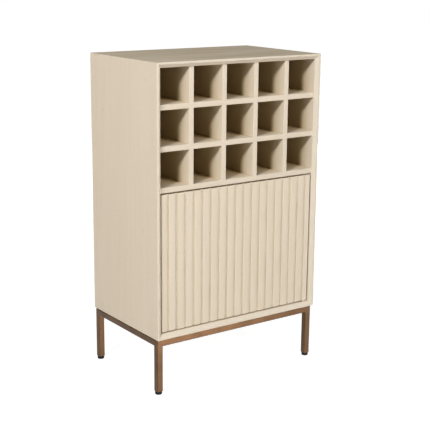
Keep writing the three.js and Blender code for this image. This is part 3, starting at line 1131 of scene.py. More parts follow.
@dataclass
class Case:
    """Four boards mitred into a frame, with a land and an inward bevel round the front, and the back.

    The frame is swept as one, so that its roundings run through the mitres, and is then sawn apart.
    """

    half_width: float = 300.0
    front: float = -190.0
    back: float = 190.0
    bottom: float = CASE_BOTTOM
    height: float = 817.0
    thickness: float = 16.0
    land: float = 6.0
    bevel: float = 9.0
    shoulder: float = REAR_SHOULDER
    rebate: float = 8.0
    arris: float = 0.7
    rebate_arris: float = 0.4
    back_arris: float = 0.4
    corner_radius: float = 1.0
    corner_steps: int = 4
    mitre_gap: float = 0.12

    def section(self) -> list[Vector]:
        """Draws the boards' section.

        Returns:
            Its points, as the depth from the outer face and the place along Y.
        """
        outline = Outline((
            Corner(0, self.front, self.arris),
            Corner(self.land, self.front, self.arris),
            Corner(self.thickness, self.front + self.bevel, self.arris),
            Corner(self.thickness, self.shoulder),
            Corner(self.thickness - self.rebate, self.shoulder),
            Corner(self.thickness - self.rebate, self.back, self.rebate_arris),
            Corner(0, self.back, self.arris),
        ), 3)
        return outline.ring()

    def swept(self) -> Mesh:
        """Sweeps the section round the case, with the outer corners rounded.

        Returns:
            The frame of four boards in one.
        """
        mesh = bmesh.new()
        section = self.section()
        middle = self.bottom + self.height / 2
        half = (self.half_width, self.height / 2)
        rings = []
        # Each corner's first angle in degrees, and on which side and how high it is
        for start, side, rise in ((270, 1, -1), (0, 1, 1), (90, -1, 1), (180, -1, -1)):
            for step in range(self.corner_steps + 1):
                angle = math.radians(start + 90 * step / self.corner_steps)
                ring = []
                for point in section:
                    radius = max(self.corner_radius - point.x, 0.0)
                    inner = max(point.x, self.corner_radius)
                    x = side * (half[0] - inner) + radius * math.cos(angle)
                    z = rise * (half[1] - inner) + radius * math.sin(angle) + middle
                    ring.append(mesh.verts.new(Vector((x, point.y, z)) * MM))
                rings.append(ring)
        for index, ring in enumerate(rings):
            onward = rings[(index + 1) % len(rings)]
            for i in range(len(section)):
                j = (i + 1) % len(section)
                mesh.faces.new((ring[i], ring[j], onward[j], onward[i]))
        return tidied(mesh)

    def saw(self, board: Board) -> Object:
        """Saws one board out of the swept frame.

        Args:
            board: the board.

        Returns:
            Its piece.
        """
        mesh, facing = self.swept(), board.facing
        middle = self.bottom + self.height / 2
        ends = [(1, facing[1]), (-1, facing[1])] if facing[1] else [(facing[0], 1), (facing[0], -1)]
        for side, rise in ends:
            sign = (1, -1) if facing[1] else (-1, 1)
            normal = Vector((side * sign[0], 0, rise * sign[1])).normalized()
            corner = Vector((side * self.half_width, 0, rise * self.height / 2 + middle))
            sawn = (corner - normal * self.mitre_gap) * MM
            everything = mesh.verts[:] + mesh.edges[:] + mesh.faces[:]
            bmesh.ops.bisect_plane(mesh, geom=everything, plane_co=sawn, plane_no=normal, clear_outer=True)
        open_edges = [edge for edge in mesh.edges if edge.is_boundary]
        bmesh.ops.holes_fill(mesh, edges=open_edges, sides=0)
        return make_object(board.name, tidied(mesh))

    def finishes(self, board: Board, cells_above: float) -> list[LimewashedMango]:
        """Gives the finishes of a board's edges, inner face, outer face and bevel.

        Args:
            board: the board.
            cells_above: the height in mm that the rack's cells stand above.

        Returns:
            The finishes, in the order of the faces' material numbers.
        """
        name, grain, shift = f"limewashed_mango_{board.side}", board.grain, board.shift
        face = Axis.Z if grain is Axis.X else Axis.X
        mouth = self.front + self.bevel
        streaks, tone = board.streaking.value
        return [
            # The edge and bevel washes carry the board's painted light and shade
            LimewashedMango(f"{name}_edge", grain, face, shift, 0.2, 5.0, wash=board.edge),
            # Painted shade: the inner face darkens deep in the cells above the rack's floor
            LimewashedMango(f"{name}_inside", grain, face, shift, 0.5, mouth=mouth, cells_above=cells_above),
            LimewashedMango(f"{name}_outside", grain, face, shift, streaks, knots=0.07, tone=tone),
            LimewashedMango(f"{name}_bevel", grain, face, shift, 0.2, 5.0, wash=board.bevel),
        ]

    def number_faces(self, piece: Object, facing: tuple[int, int]) -> None:
        """Numbers a board's faces for its finishes.

        Args:
            piece: the board's piece.
            facing: the way that its outer face looks, as X and Z.
        """
        for face in piece.data.polygons:
            outwards = face.normal.x * facing[0] + face.normal.z * facing[1]
            kind = BoardFace.EDGE
            if outwards > LOOKS_ALONG:
                kind = BoardFace.OUTSIDE
            elif outwards < -LOOKS_ALONG:
                kind = BoardFace.INSIDE
            elif outwards < -LEANS_TOWARDS and face.normal.y < -LEANS_TOWARDS:
                kind = BoardFace.BEVEL
            face.material_index = kind.value

    def build(
        self,
        rack: "BottleRack",
        fittings: "PivotFittings",
        cupboard: "Cupboard",
        latch: "TouchLatch",
        base: "Base",
    ) -> None:
        """Makes the boards and the back, with the holes and pockets of what is fixed to them.

        Args:
            rack: the bottle rack, whose cells the side boards close.
            fittings: the door's pivots, let into the bottom board.
            cupboard: the shelf, whose peg holes are in the side boards.
            latch: the touch latch, screwed to the left side board.
            base: the base, screwed to the bottom board.
        """
        pieces = [self.saw(board) for board in BOARDS]
        _, bottom, left, right = pieces
        for tools in fittings.lower_cuts():
            carve(bottom, tools)
        carve(bottom, base.screw_pilots())
        carve(left, cupboard.peg_holes(-1) + latch.screw_pilots())
        carve(right, cupboard.peg_holes(1))
        body, sill = Body.CABINET.value, rack.bottom + rack.floor
        for board, piece in zip(BOARDS, pieces):
            self.number_faces(piece, board.facing)
            settle(piece, body, [f"{board.side}_panel"], self.finishes(board, sill))
        low, high = (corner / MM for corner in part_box("back_panel"))
        back = make_object("case_back_board", mesh_of([slab(low, high, self.back_arris)]))
        veneer = LimewashedMango("limewashed_mango_back", Axis.Z, Axis.Y, 9.2, 0.6, **INNER_TONES)
        settle(back, body, ["back_panel"], [veneer])


# Bottle rack


class RackFace(Enum):
    """The faces of the rack, numbered in the order of its finishes."""

    LEVEL = 0
    UPRIGHT = 1
    UNDERSIDE = 2


@dataclass
class BottleRack:
    """The board above the door and the half-lapped shelves and dividers, sanded flush as one lattice."""

    half_width: float = 283.85
    front: float = -178.0
    rear: float = REAR_SHOULDER
    floor: float = 441.0
    top: float = 800.85
    bottom: float = CASE_BOTTOM
    thickness: float = 16.0
    cell_width: float = 100.8
    cell_height: float = 104.0
    columns: int = 5
    rows: int = 3
    arris: float = 0.9
    underside_band: float = 0.1

    def breaks(self, first: float, last: float, start: float, opening: float, count: int) -> list[float]:
        """Gives the edges of bars that stand `opening` apart.

        Args:
            first: where the lattice starts.
            last: where it ends.
            start: where the first opening starts.
            opening: the width of each opening.
            count: how many openings there are.

        Returns:
            The edges, from the first to the last.
        """
        edges = [first]
        for index in range(count):
            low = start + index * (opening + self.thickness)
            edges += [low, low + opening]
        return [first] + [edge for edge in edges if first < edge < last] + [last]

    def lattice(self) -> Mesh:
        """Makes the lattice, its level and its upright bars numbered apart.

        Returns:
            The lattice, with its front arrises rounded.
        """
        mesh = bmesh.new()
        xs = self.breaks(-self.half_width, self.half_width, -INNER_WALL, self.cell_width, self.columns)
        zs = self.breaks(self.floor, self.top, self.floor + self.thickness, self.cell_height, self.rows)
        xs_middle = [(a + b) / 2 for a, b in zip(xs, xs[1:])]
        pitch = self.cell_width + self.thickness
        in_bar = [(x + INNER_WALL) % pitch > self.cell_width for x in xs_middle]
        level = [index % 2 == 0 for index in range(len(zs) - 1)]
        verts: dict[tuple[int, int, int], bmesh.types.BMVert] = {}

        def vert(i: int, j: int, k: int) -> bmesh.types.BMVert:
            """Finds the point at a crossing of the breaks, or makes it.

            Args:
                i: the crossing's number across.
                j: its number upwards.
                k: 0 at the front, 1 at the rear.

            Returns:
                The point.
            """
            if (i, j, k) not in verts:
                y = self.rear if k else self.front
                verts[i, j, k] = mesh.verts.new(Vector((xs[i], y, zs[j] + self.bottom)) * MM)
            return verts[i, j, k]

        def solid(i: int, j: int) -> bool:
            """Says whether a field between the breaks is wood.

            Args:
                i: the field's number across.
                j: its number upwards.

            Returns:
                Whether it is; fields outside the rack aren't.
            """
            inside = 0 <= i < len(xs) - 1 and 0 <= j < len(zs) - 1
            return inside and (level[j] or in_bar[i])

        for i in range(len(xs) - 1):
            for j in range(len(zs) - 1):
                if not solid(i, j):
                    continue
                kind = RackFace.LEVEL if level[j] else RackFace.UPRIGHT
                faces = [
                    [vert(i, j, 0), vert(i + 1, j, 0), vert(i + 1, j + 1, 0), vert(i, j + 1, 0)],
                    [vert(i, j, 1), vert(i, j + 1, 1), vert(i + 1, j + 1, 1), vert(i + 1, j, 1)],
                ]
                sides = (
                    (solid(i - 1, j), (i, j), (i, j + 1)),
                    (solid(i + 1, j), (i + 1, j + 1), (i + 1, j)),
                    (solid(i, j - 1), (i + 1, j), (i, j)),
                    (solid(i, j + 1), (i, j + 1), (i + 1, j + 1)),
                )
                for wood, a, b in sides:
                    if not wood:
                        faces.append([vert(*a, 0), vert(*b, 0), vert(*b, 1), vert(*a, 1)])
                for face in faces:
                    mesh.faces.new(face).material_index = kind.value
        tidied(mesh)
        front = self.front * MM
        outer = self.half_width * MM
        crown = (self.top + self.bottom) * MM
        arrises = []
        for edge in mesh.edges:
            at_front = all(abs(v.co.y - front) < WELD_DISTANCE for v in edge.verts)
            at_end = all(abs(abs(v.co.x) - outer) < WELD_DISTANCE for v in edge.verts)
            at_crown = all(abs(v.co.z - crown) < WELD_DISTANCE for v in edge.verts)
            if at_front and not at_end and not at_crown and edge.calc_face_angle(0) > SMOOTH_ANGLE:
                arrises.append(edge)
        bmesh.ops.bevel(
            mesh, geom=arrises, offset=self.arris * MM, segments=3, profile=0.5, affect="EDGES",
            clamp_overlap=False, material=-1,
        )
        return tidied(mesh)

    def build(self, fittings: "PivotFittings") -> None:
        """Makes the lattice, with the upper pivot's pocket in its floor board.

        Args:
            fittings: the door's pivots.
        """
        piece = make_object("bottle_rack_lattice", self.lattice())
        for tools in fittings.upper_cuts():
            carve(piece, tools)
        # The rack floor's underside, above the door's top seam, takes painted seam shade
        underside = (self.bottom + self.floor) * MM
        for face in piece.data.polygons:
            near = abs(face.center.z - underside) < self.underside_band * MM
            if near and face.normal.z < -LOOKS_ALONG:
                face.material_index = RackFace.UNDERSIDE.value
        name, mouth = "limewashed_mango", self.front
        # Shelves and dividers both take painted shade deep in the cells; the shelves' painted shade is
        # yellower
        level = LimewashedMango(
            f"{name}_shelves", Axis.X, Axis.Z, 11.6, 0.5, 5.0, mouth=mouth, cell_shade_tone="#D0B685", cell_shade_share=0.7
        )
        upright = LimewashedMango(f"{name}_dividers", Axis.Z, Axis.X, 13.9, 0.4, 5.0, mouth=mouth)
        nodes = ["rack_floor"] + [f"rack_shelf_{row}" for row in range(1, self.rows)]
        nodes += [f"rack_divider_{column}" for column in range(1, self.columns)]
        settle(piece, Body.CABINET.value, nodes, [level, upright, SEAM_SHADE_MANGO])


# Cupboard


@dataclass
class Cupboard:
    """One shelf on four steel pegs, with spare peg holes above and below."""

    half_width: float = 283.0
    front: float = -140.0
    rear: float = REAR_SHOULDER
    bottom: float = 387.7
    thickness: float = 16.0
    arris: float = 0.9
    peg_height: float = 384.9
    peg_rows: tuple[float, float] = (-100.0, 141.7)
    peg_radius: float = 2.5
    peg_depth: float = 9.0
    peg_reach: float = 8.0
    peg_eases: tuple[float, float] = (0.6, 0.9)
    hole_spacing: float = 32.0

    def peg_holes(self, side: int) -> list[Turned]:
        """Gives the tools for one side board's peg holes.

        Args:
            side: -1 for the left board, 1 for the right one.

        Returns:
            The tools, none of which touches another.
        """
        radius, depth = self.peg_radius + CLEARANCE, self.peg_depth + 2 * CLEARANCE
        heights = [self.peg_height + row * self.hole_spacing for row in (-1, 0, 1)]
        places = [(side * INNER_WALL, y, z) for y in self.peg_rows for z in heights]
        return [drilled(radius, place, depth, Axis.X, side) for place in places]

    def build(self) -> None:
        """Makes the shelf and its pegs."""
        low = (-self.half_width, self.front, self.bottom)
        high = (self.half_width, self.rear, self.bottom + self.thickness)
        shelf = make_object("cupboard_shelf_board", mesh_of([slab(low, high, self.arris, Axis.X)]))
        name = "limewashed_mango_inner_shelf"
        finish = LimewashedMango(name, Axis.X, Axis.Z, 16.2, 0.6, knots=0.2, **INNER_TONES)
        settle(shelf, Body.CABINET.value, ["cupboard_shelf"], [finish])
        length, (hidden, shown) = self.peg_depth + self.peg_reach, self.peg_eases
        outline = Outline((
            Corner(0, 0), Corner(self.peg_radius, 0, hidden), Corner(self.peg_radius, length, shown),
            Corner(0, length),
        ))
        for station in STATIONS:
            x, y = station.side * (INNER_WALL + self.peg_depth), self.peg_rows[station.end > 0]
            turned = Turned(outline, (x, y, self.peg_height), Axis.X, -station.side, 32)
            peg = make_object(f"steel_peg_{station.name}", mesh_of([turned]))
            settle(peg, Body.CABINET.value, [f"shelf_peg_{station.name}"], [ZINC], True)


# Door


class DoorFace(Enum):
    """The faces of the door, numbered in the order of its finishes."""

    RIB = 0
    GROOVE = 1
    SEAM_SHADE = 2
    WALL = 3


@dataclass
class Door:
    """One thick panel with ribs between round-edged grooves, a strike plate and two pivot pins."""

    left: float = -280.0
    right: float = 279.0
    front: float = -180.0
    back: float = -160.0
    bottom: float = 194.9
    top: float = 611.9
    grooves: int = 18
    groove_width: float = 8.0
    groove_depth: float = 4.0
    edge_rib: float = 17.5
    rib_radius: float = 0.35
    groove_radius: float = 0.5
    rear_arris: float = 0.9
    end_ease: float = 0.8
    edge_band: float = 1.5
    front_band: float = 0.3
    floor_band: float = 0.1
    pin_radius: float = 3.0
    pin_depth: float = 18.0
    pin_length: float = 31.5
    pin_eases: tuple[float, float] = (0.5, 0.9)
    strike: Point = (LATCH_PLACE[0], -159.7, LATCH_PLACE[1])
    strike_radius: float = 8.0
    strike_thickness: float = 1.5
    strike_eases: tuple[float, float] = (0.2, 0.5)
    strike_sink: float = 3.2
    strike_pilot: float = 9.8

    def outline(self) -> Outline:
        """Draws the ribbed section, seen from above.

        Returns:
            The section.
        """
        corners = [Corner(self.left, self.front, self.rib_radius)]
        pitch = (self.right - self.left - 2 * self.edge_rib - self.groove_width) / (self.grooves - 1)
        floor = self.front + self.groove_depth
        for groove in range(self.grooves):
            start = self.left + self.edge_rib + groove * pitch
            end = start + self.groove_width
            corners += [
                Corner(start, self.front, self.rib_radius), Corner(start, floor, self.groove_radius),
                Corner(end, floor, self.groove_radius), Corner(end, self.front, self.rib_radius),
            ]
        corners += [
            Corner(self.right, self.front, self.rib_radius),
            Corner(self.right, self.back, self.rear_arris),
            Corner(self.left, self.back, self.rear_arris),
        ]
        return Outline(tuple(corners))

    def kind_of(self, face: bpy.types.MeshPolygon) -> DoorFace:
        """Says which finish a face of the panel takes.

        Args:
            face: the face, one of the panel's.

        Returns:
            Its kind; behind the front, the top and the hinge edge take painted seam shade.
        """
        x, y, _ = face.center / MM
        behind_ribs = y > self.front + self.front_band
        # Painted seam shade on the top and the hinge edge, behind the front
        if face.normal.z > LOOKS_ALONG or x > self.right - self.edge_band:
            return DoorFace.SEAM_SHADE if behind_ribs else DoorFace.RIB
        at_other_edge = face.normal.z < -LOOKS_ALONG or x < self.left + self.edge_band
        past_grooves = y >= self.front + self.groove_depth + self.floor_band
        if at_other_edge or not behind_ribs or past_grooves:
            return DoorFace.RIB
        return DoorFace.WALL if abs(face.normal.x) > math.sqrt(0.5) else DoorFace.GROOVE

    def panel(self) -> None:
        """Makes the ribbed panel, bored for its pins."""
        stations = eased_ends(self.bottom, self.top, self.end_ease, self.end_ease)
        piece = make_object("ribbed_door_panel", mesh_of([Prism(self.outline(), stations)]))
        radius, depth = self.pin_radius + CLEARANCE, self.pin_depth + 2 * CLEARANCE
        lower = drilled(radius, (*PIVOT_PLACE, self.bottom), depth)
        upper = drilled(radius, (*PIVOT_PLACE, self.top), depth, way=-1)
        place = (self.strike[0], self.back, self.strike[2])
        pilot = ScrewKind.COUNTERSUNK.pilot(place, self.strike_pilot, Axis.Y, -1)
        carve(piece, [lower, upper, pilot])
        for face in piece.data.polygons:
            face.material_index = self.kind_of(face).value
        name = "limewashed_mango"
        # The groove floors take a lighter wash as painted light against their shade, and the groove walls a
        # darker one as painted shade against the light on them
        finishes = [
            LimewashedMango(f"{name}_ribs", Axis.Z, Axis.Y, 18.8, 0.15),
            LimewashedMango(f"{name}_grooves", Axis.Z, Axis.Y, 19.6, 0.5, 5.0, 0.8, wash="#E6D8C2"),
            SEAM_SHADE_MANGO,
            LimewashedMango(f"{name}_groove_walls", Axis.Z, Axis.X, 20.3, 0.5, 5.0, 0.8, wash="#D6C6AE"),
        ]
        settle(piece, Body.DOOR.value, ["door_panel"], finishes)

    def pins(self) -> None:
        """Makes the two pivot pins."""
        radius, length, (hidden, tip) = self.pin_radius, self.pin_length, self.pin_eases
        outline = Outline((
            Corner(0, 0), Corner(radius, 0, hidden), Corner(radius, length, tip), Corner(0, length),
        ))
        starts = (("lower", self.bottom + self.pin_depth, -1), ("upper", self.top - self.pin_depth, 1))
        for side, start, way in starts:
            turned = Turned(outline, (*PIVOT_PLACE, start), Axis.Z, way)
            pin = make_object(f"{side}_hinge_pin", mesh_of([turned]))
            settle(pin, Body.DOOR.value, [f"{side}_pivot_pin"], [ZINC], True)

    def strike_parts(self) -> None:
        """Makes the strike plate and its countersunk screw on the door's rear face."""
        radius, thickness, (seated, struck) = self.strike_radius, self.strike_thickness, self.strike_eases
        outline = Outline((
            Corner(0, 0), Corner(radius, 0, seated), Corner(radius, thickness, struck), Corner(0, thickness),
        ))
        plate = make_object("door_strike_disc", mesh_of([Turned(outline, self.strike, Axis.Y)]))
        face = (self.strike[0], self.strike[1] + thickness, self.strike[2])
        carve(plate, [countersunk(self.strike_sink, face, 2 * thickness, Axis.Y, -1)])
        settle(plate, Body.DOOR.value, ["strike_plate"], [ZINC], True)
        Screw("door_strike_screw", "strike_screw", face, Axis.Y, -1).build(Body.DOOR.value)

    def build(self) -> None:
        """Makes the door and what is fixed to it."""
        self.panel()
        self.pins()
        self.strike_parts()


@dataclass
class PivotFittings:
    """A bush under a let-in steel plate below and above the door, and the washer that carries it."""

    lower_face: float = 190.9
    upper_face: float = 615.9
    plate_radius: float = 5.0
    plate_span: float = 20.0
    plate_thickness: float = 2.0
    plate_ease: float = 0.25
    plate_sink: float = 3.15
    screw_pilot: float = 11.2
    bore: float = 3.25
    bush_radius: float = 4.75
    bush_length: float = 8.5
    bush_ease: float = 0.3
    washer_radius: float = 6.0
    washer_height: float = 3.4
    washer_ease: float = 0.4

    def screw_place(self, face: float) -> Point:
        """Gives the middle of the screw's head on a board's face."""
        return PIVOT_PLACE[0] - self.plate_span, PIVOT_PLACE[1], face

    def cuts(self, face: float, way: int) -> list[list[Shape]]:
        """Gives the tools for one board.

        Args:
            face: the height of the board's face.
            way: -1 where the board lies below its face, 1 where it lies above.

        Returns:
            Lists of tools to be cut one after another.
        """
        pocket = Outline.stadium(PIVOT_PLACE, self.plate_radius + CLEARANCE, self.plate_span)
        floor = face + way * (self.plate_thickness + CLEARANCE)
        stations = [(face - way * OVERCUT, 0.0), (floor, 0.0)]
        depth = self.plate_thickness + SEAT_GAP + self.bush_length + CLEARANCE
        bore = drilled(self.bush_radius + CLEARANCE, (*PIVOT_PLACE, face), depth, way=way, sides=48)
        pilot = ScrewKind.COUNTERSUNK.pilot(self.screw_place(face), self.screw_pilot, way=way)
        return [[Prism(pocket, stations)], [bore, pilot]]

    def lower_cuts(self) -> list[list[Shape]]:
        """Gives the tools for the bottom board."""
        return self.cuts(self.lower_face, -1)

    def upper_cuts(self) -> list[list[Shape]]:
        """Gives the tools for the board above the door."""
        return self.cuts(self.upper_face, 1)

    def pivot(self, side: str, face: float, way: int) -> None:
        """Makes one pivot's plate, bush and screw.

        Args:
            side: "lower" or "upper".
            face: the height of the board's face.
            way: -1 where the board lies below its face, 1 where it lies above.
        """
        body = Body.CABINET.value
        outline = Outline.stadium(PIVOT_PLACE, self.plate_radius, self.plate_span)
        low, high = sorted((face, face + way * self.plate_thickness))
        stations = eased_ends(low, high, self.plate_ease, self.plate_ease)
        plate = make_object(f"{side}_hinge_plate", mesh_of([Prism(outline, stations)]))
        screw, through = self.screw_place(face), 2 * self.plate_thickness
        bore = drilled(self.bore, (*PIVOT_PLACE, face), through, way=way)
        carve(plate, [bore, countersunk(self.plate_sink, screw, through, way=way)])
        settle(plate, body, [f"{side}_pivot_plate"], [ZINC], True)
        start = face + way * (self.plate_thickness + SEAT_GAP)
        ring = Outline.rectangle((self.bore, 0), (self.bush_radius, self.bush_length), self.bush_ease, 3)
        bush = make_object(f"{side}_hinge_bush", mesh_of([Turned(ring, (*PIVOT_PLACE, start), Axis.Z, way)]))
        settle(bush, body, [f"{side}_pivot_bush"], [NYLON], True)
        Screw(f"{side}_hinge_plate_screw", f"{side}_pivot_screw", screw, Axis.Z, way).build(body)

    def build(self) -> None:
        """Makes both pivots, and the washer on the lower one."""
        self.pivot("lower", self.lower_face, -1)
        self.pivot("upper", self.upper_face, 1)
        low, high = (self.bore, SEAT_GAP), (self.washer_radius, SEAT_GAP + self.washer_height)
        ring = Outline.rectangle(low, high, self.washer_ease, 3)
        washer = make_object("lower_hinge_washer", mesh_of([Turned(ring, (*PIVOT_PLACE, self.lower_face))]))
        settle(washer, Body.CABINET.value, ["lower_thrust_washer"], [NYLON], True)


# Touch latch


@dataclass
class TouchLatch:
    """A push latch on the left side board: a flanged housing, a sprung plunger and its magnet."""

    x: float = LATCH_PLACE[0]
    mouth: float = -153.9
    z: float = LATCH_PLACE[1]
    length: float = 50.0
    size: float = 15.0
    wall: float = -283.7
    flange: float = 3.0
    flange_height: float = 40.0
    flange_radius: float = 3.5
    body_radius: float = 1.5
    ease: float = 0.5
    bore_room: float = 0.25
    bore_end: float = 3.0
    screw_rises: tuple[float, float] = (-13.75, 13.75)
    screw_hole: float = 2.0
    screw_pilot: float = 9.2
    plunger_radius: float = 4.5
    plunger_length: float = 26.0
    cup_ease: float = 0.1
    plunger_eases: tuple[float, float] = (0.5, 0.3)
    reach: float = 4.0
    magnet_radius: float = 3.0
    magnet_length: float = 4.0
    magnet_eases: tuple[float, float] = (0.4, 0.3)

    def screw_places(self, x: float) -> list[Point]:
        """Gives where the screws pass a place along X."""
        return [(x, self.mouth + self.length / 2, self.z + rise) for rise in self.screw_rises]

    def screw_pilots(self) -> list[Turned]:
        """Gives the tools for the screws' holes in the side board."""
        places = self.screw_places(-INNER_WALL)
        return [ScrewKind.LATCH_PAN.pilot(place, self.screw_pilot, Axis.X, -1) for place in places]

    def housing(self) -> None:
        """Makes the moulded housing."""
        half = self.size / 2
        rear = self.mouth + self.length
        low = (self.wall, self.mouth, self.z - self.flange_height / 2)
        high = (self.wall + self.flange, rear, self.z + self.flange_height / 2)
        flange = slab(low, high, self.ease, Axis.X, self.flange_radius)
        piece = make_object("latch_moulded_housing", mesh_of([flange]))
        low = (self.wall + self.ease, self.mouth, self.z - half)
        high = (self.x + half, rear, self.z + half)
        carve(piece, [slab(low, high, self.ease, Axis.Y, self.body_radius)], Carving.JOIN)
        mouth = (self.x, self.mouth, self.z)
        radius, depth = self.plunger_radius + self.bore_room, self.length - self.bore_end
        bore = drilled(radius, mouth, depth, Axis.Y, sides=48)
        through = self.flange + 2 * OVERCUT
        holes = [drilled(self.screw_hole, place, through, Axis.X) for place in self.screw_places(self.wall)]
        carve(piece, [bore, *holes])
        settle(piece, Body.CABINET.value, ["latch_housing"], [POLYPROPYLENE], True)

    def plunger(self) -> None:
        """Makes the plunger and the magnet in its tip."""
        tip = (self.x, self.mouth - self.reach, self.z)
        cup, depth = self.magnet_radius + 2 * CLEARANCE, self.magnet_length + 2 * CLEARANCE
        radius, length, (rim, end) = self.plunger_radius, self.plunger_length, self.plunger_eases
        outline = Outline((
            Corner(0, depth), Corner(cup, depth), Corner(cup, 0, self.cup_ease), Corner(radius, 0, rim),
            Corner(radius, length, end), Corner(0, length),
        ))
        plunger = make_object("latch_push_rod", mesh_of([Turned(outline, tip, Axis.Y)]))
        settle(plunger, Body.PLUNGER.value, ["latch_plunger"], [NYLON], True)
        radius, length, (rim, end) = self.magnet_radius, self.magnet_length, self.magnet_eases
        outline = Outline((
            Corner(0, 0), Corner(radius, 0, rim), Corner(radius, length, end), Corner(0, length),
        ))
        magnet = make_object("latch_push_rod_magnet", mesh_of([Turned(outline, tip, Axis.Y)]))
        settle(magnet, Body.PLUNGER.value, ["latch_magnet"], [ZINC], True)

    def build(self) -> None:
        """Makes the latch and its screws."""
        self.housing()
        self.plunger()
        kind = ScrewKind.LATCH_PAN
        heads = self.screw_places(self.wall + self.flange + SEAT_GAP + kind.value.depth)
        for side, head in zip(("lower", "upper"), heads):
            screw = Screw(f"latch_{side}_wood_screw", f"latch_screw_{side}", head, Axis.X, -1, kind)
            screw.build(Body.CABINET.value)


# Base


@dataclass
class Base:
    """A welded frame of square tube on four legs, with corner plates, plugs and levelling feet."""

    leg_x: float = 287.0
    leg_ys: tuple[float, float] = (-172.0, 179.0)
    leg_bottom: float = 9.8
    leg_top: float = 171.8
    leg_end_ease: float = 0.3
    crown_margin: float = 0.05  # how much less a leg's top is rounded than its corners
    tube: float = 20.0
    wall: float = 1.5
    tube_radius: float = 2.5
    plate: float = 56.0
    plate_radius: float = 2.0
    plate_thickness: float = 2.5
    plate_ease: float = 0.3
    plate_hole: float = 2.5
    plate_x: float = 267.0
    plate_ys: tuple[float, float] = (-152.0, 159.0)
    screw_x: float = 260.0
    screw_ys: tuple[float, float] = (-145.0, 152.0)
    screw_pilot: float = 11.4
    plug: float = 16.4
    plug_radius: float = 1.0
    plug_height: float = 14.0
    plug_ease: float = 0.4
    plug_hole: float = 4.25
    pad_radius: float = 10.75
    pad_edge: float = 2.0
    pad_ease: float = 0.8
    pad_height: float = 9.5
    stud_radius: float = 4.0
    stud_length: float = 26.0
    stud_ease: float = 0.5

    def leg_place(self, station: Station) -> tuple[float, float]:
        """Gives the middle of a leg, seen from above."""
        return station.side * self.leg_x, self.leg_ys[station.end > 0]

    def screw_place(self, station: Station, height: float) -> Point:
        """Gives the place of the screw between plate and case at a height."""
        return station.side * self.screw_x, self.screw_ys[station.end > 0], height

    def screw_pilots(self) -> list[Turned]:
        """Gives the tools for the screws' holes in the bottom board."""
        places = [self.screw_place(station, CASE_BOTTOM) for station in STATIONS]
        return [ScrewKind.BASE_PAN.pilot(place, self.screw_pilot) for place in places]

    def square(self, centre: tuple[float, float], size: float, radius: float, steps: int = 5) -> Outline:
        """Draws a square with rounded corners.

        Args:
            centre: its middle.
            size: its width.
            radius: its corners' radius.
            steps: facets of each corner.

        Returns:
            The outline.
        """
        half = size / 2
        low, high = (centre[0] - half, centre[1] - half), (centre[0] + half, centre[1] + half)
        return Outline.rectangle(low, high, radius, steps)

    def welded_frame(self) -> None:
        """Makes the legs and rails as one, as they are once the welds are ground flush."""
        size, radius = self.tube, self.tube_radius
        crown = radius - self.crown_margin
        ends = eased_ends(self.leg_bottom, self.leg_top, self.leg_end_ease, crown, 5)
        legs = [Prism(self.square(self.leg_place(station), size, radius), ends) for station in STATIONS]
        piece = make_object("welded_tube_frame", mesh_of(legs))
        rail_z = self.leg_top - size / 2
        ends = [(-self.leg_x, 0), (self.leg_x, 0)]
        wide = [Prism(self.square((y, rail_z), size, radius), ends, Axis.X) for y in self.leg_ys]
        ends = [(y, 0) for y in self.leg_ys]
        middles = [(rail_z, side * self.leg_x) for side in (-1, 1)]
        deep = [Prism(self.square(middle, size, radius), ends, Axis.Y) for middle in middles]
        ends = [(self.leg_bottom - OVERCUT, 0), (self.leg_top - size, 0)]
        size, radius = size - 2 * self.wall, radius - self.wall
        bores = [Prism(self.square(self.leg_place(station), size, radius), ends) for station in STATIONS]
        carve(piece, wide, Carving.JOIN)
        carve(piece, deep, Carving.JOIN)
        carve(piece, bores)
        nodes = ["front_rail", "rear_rail", "left_rail", "right_rail"] + [f"leg_{s.name}" for s in STATIONS]
        settle(piece, Body.CABINET.value, nodes, [BRONZE])

    def corner_plate(self, station: Station) -> None:
        """Makes the plate between leg and case, and its screw.

        Args:
            station: the corner that it is at.
        """
        body, name = Body.CABINET.value, station.name
        middle = (station.side * self.plate_x, self.plate_ys[station.end > 0])
        low = self.leg_top + SEAT_GAP
        stations = eased_ends(low, low + self.plate_thickness, self.plate_ease, self.plate_ease)
        outline = self.square(middle, self.plate, self.plate_radius)
        plate = make_object(f"base_plate_{name}", mesh_of([Prism(outline, stations)]))
        carve(plate, [drilled(self.plate_hole, self.screw_place(station, low), 2 * self.plate_thickness)])
        settle(plate, body, [f"corner_plate_{name}"], [BRONZE], True)
        kind = ScrewKind.BASE_PAN
        head = self.screw_place(station, self.leg_top - kind.value.depth)
        Screw(f"plate_screw_{name}", f"base_screw_{name}", head, Axis.Z, 1, kind).build(body)

    def plug_and_foot(self, station: Station) -> None:
        """Makes the plug in the leg's end and the levelling foot that turns in it.

        Args:
            station: the corner that they are at.
        """
        name, place = station.name, self.leg_place(station)
        top = self.leg_bottom + self.plug_height
        stations = eased_ends(self.leg_bottom, top, self.plug_ease, self.plug_ease)
        outline = self.square(place, self.plug, self.plug_radius)
        plug = make_object(f"tube_plug_{name}", mesh_of([Prism(outline, stations)]))
        hole = drilled(self.plug_hole, (*place, self.leg_bottom), self.plug_height + 2 * OVERCUT)
        carve(plug, [hole])
        settle(plug, Body.CABINET.value, [f"leg_plug_{name}"], [POLYPROPYLENE], True)
        pad, stud, neck = self.pad_radius, self.stud_radius, self.pad_height
        tip = neck + self.stud_length
        outline = Outline((
            Corner(0, 0), Corner(pad, 0, self.pad_edge), Corner(pad, neck, self.pad_ease),
            Corner(stud, neck), Corner(stud, tip, self.stud_ease), Corner(0, tip),
        ), 6)
        foot = make_object(f"levelling_foot_{name}", mesh_of([Turned(outline, (*place, 0.0))]))
        settle(foot, f"foot_{name}", [f"foot_{name}"], [POLYPROPYLENE], True)

    def build(self) -> None:
        """Makes the base and its feet."""
        self.welded_frame()
        for station in STATIONS:
            self.corner_plate(station)
            self.plug_and_foot(station)


# Studio


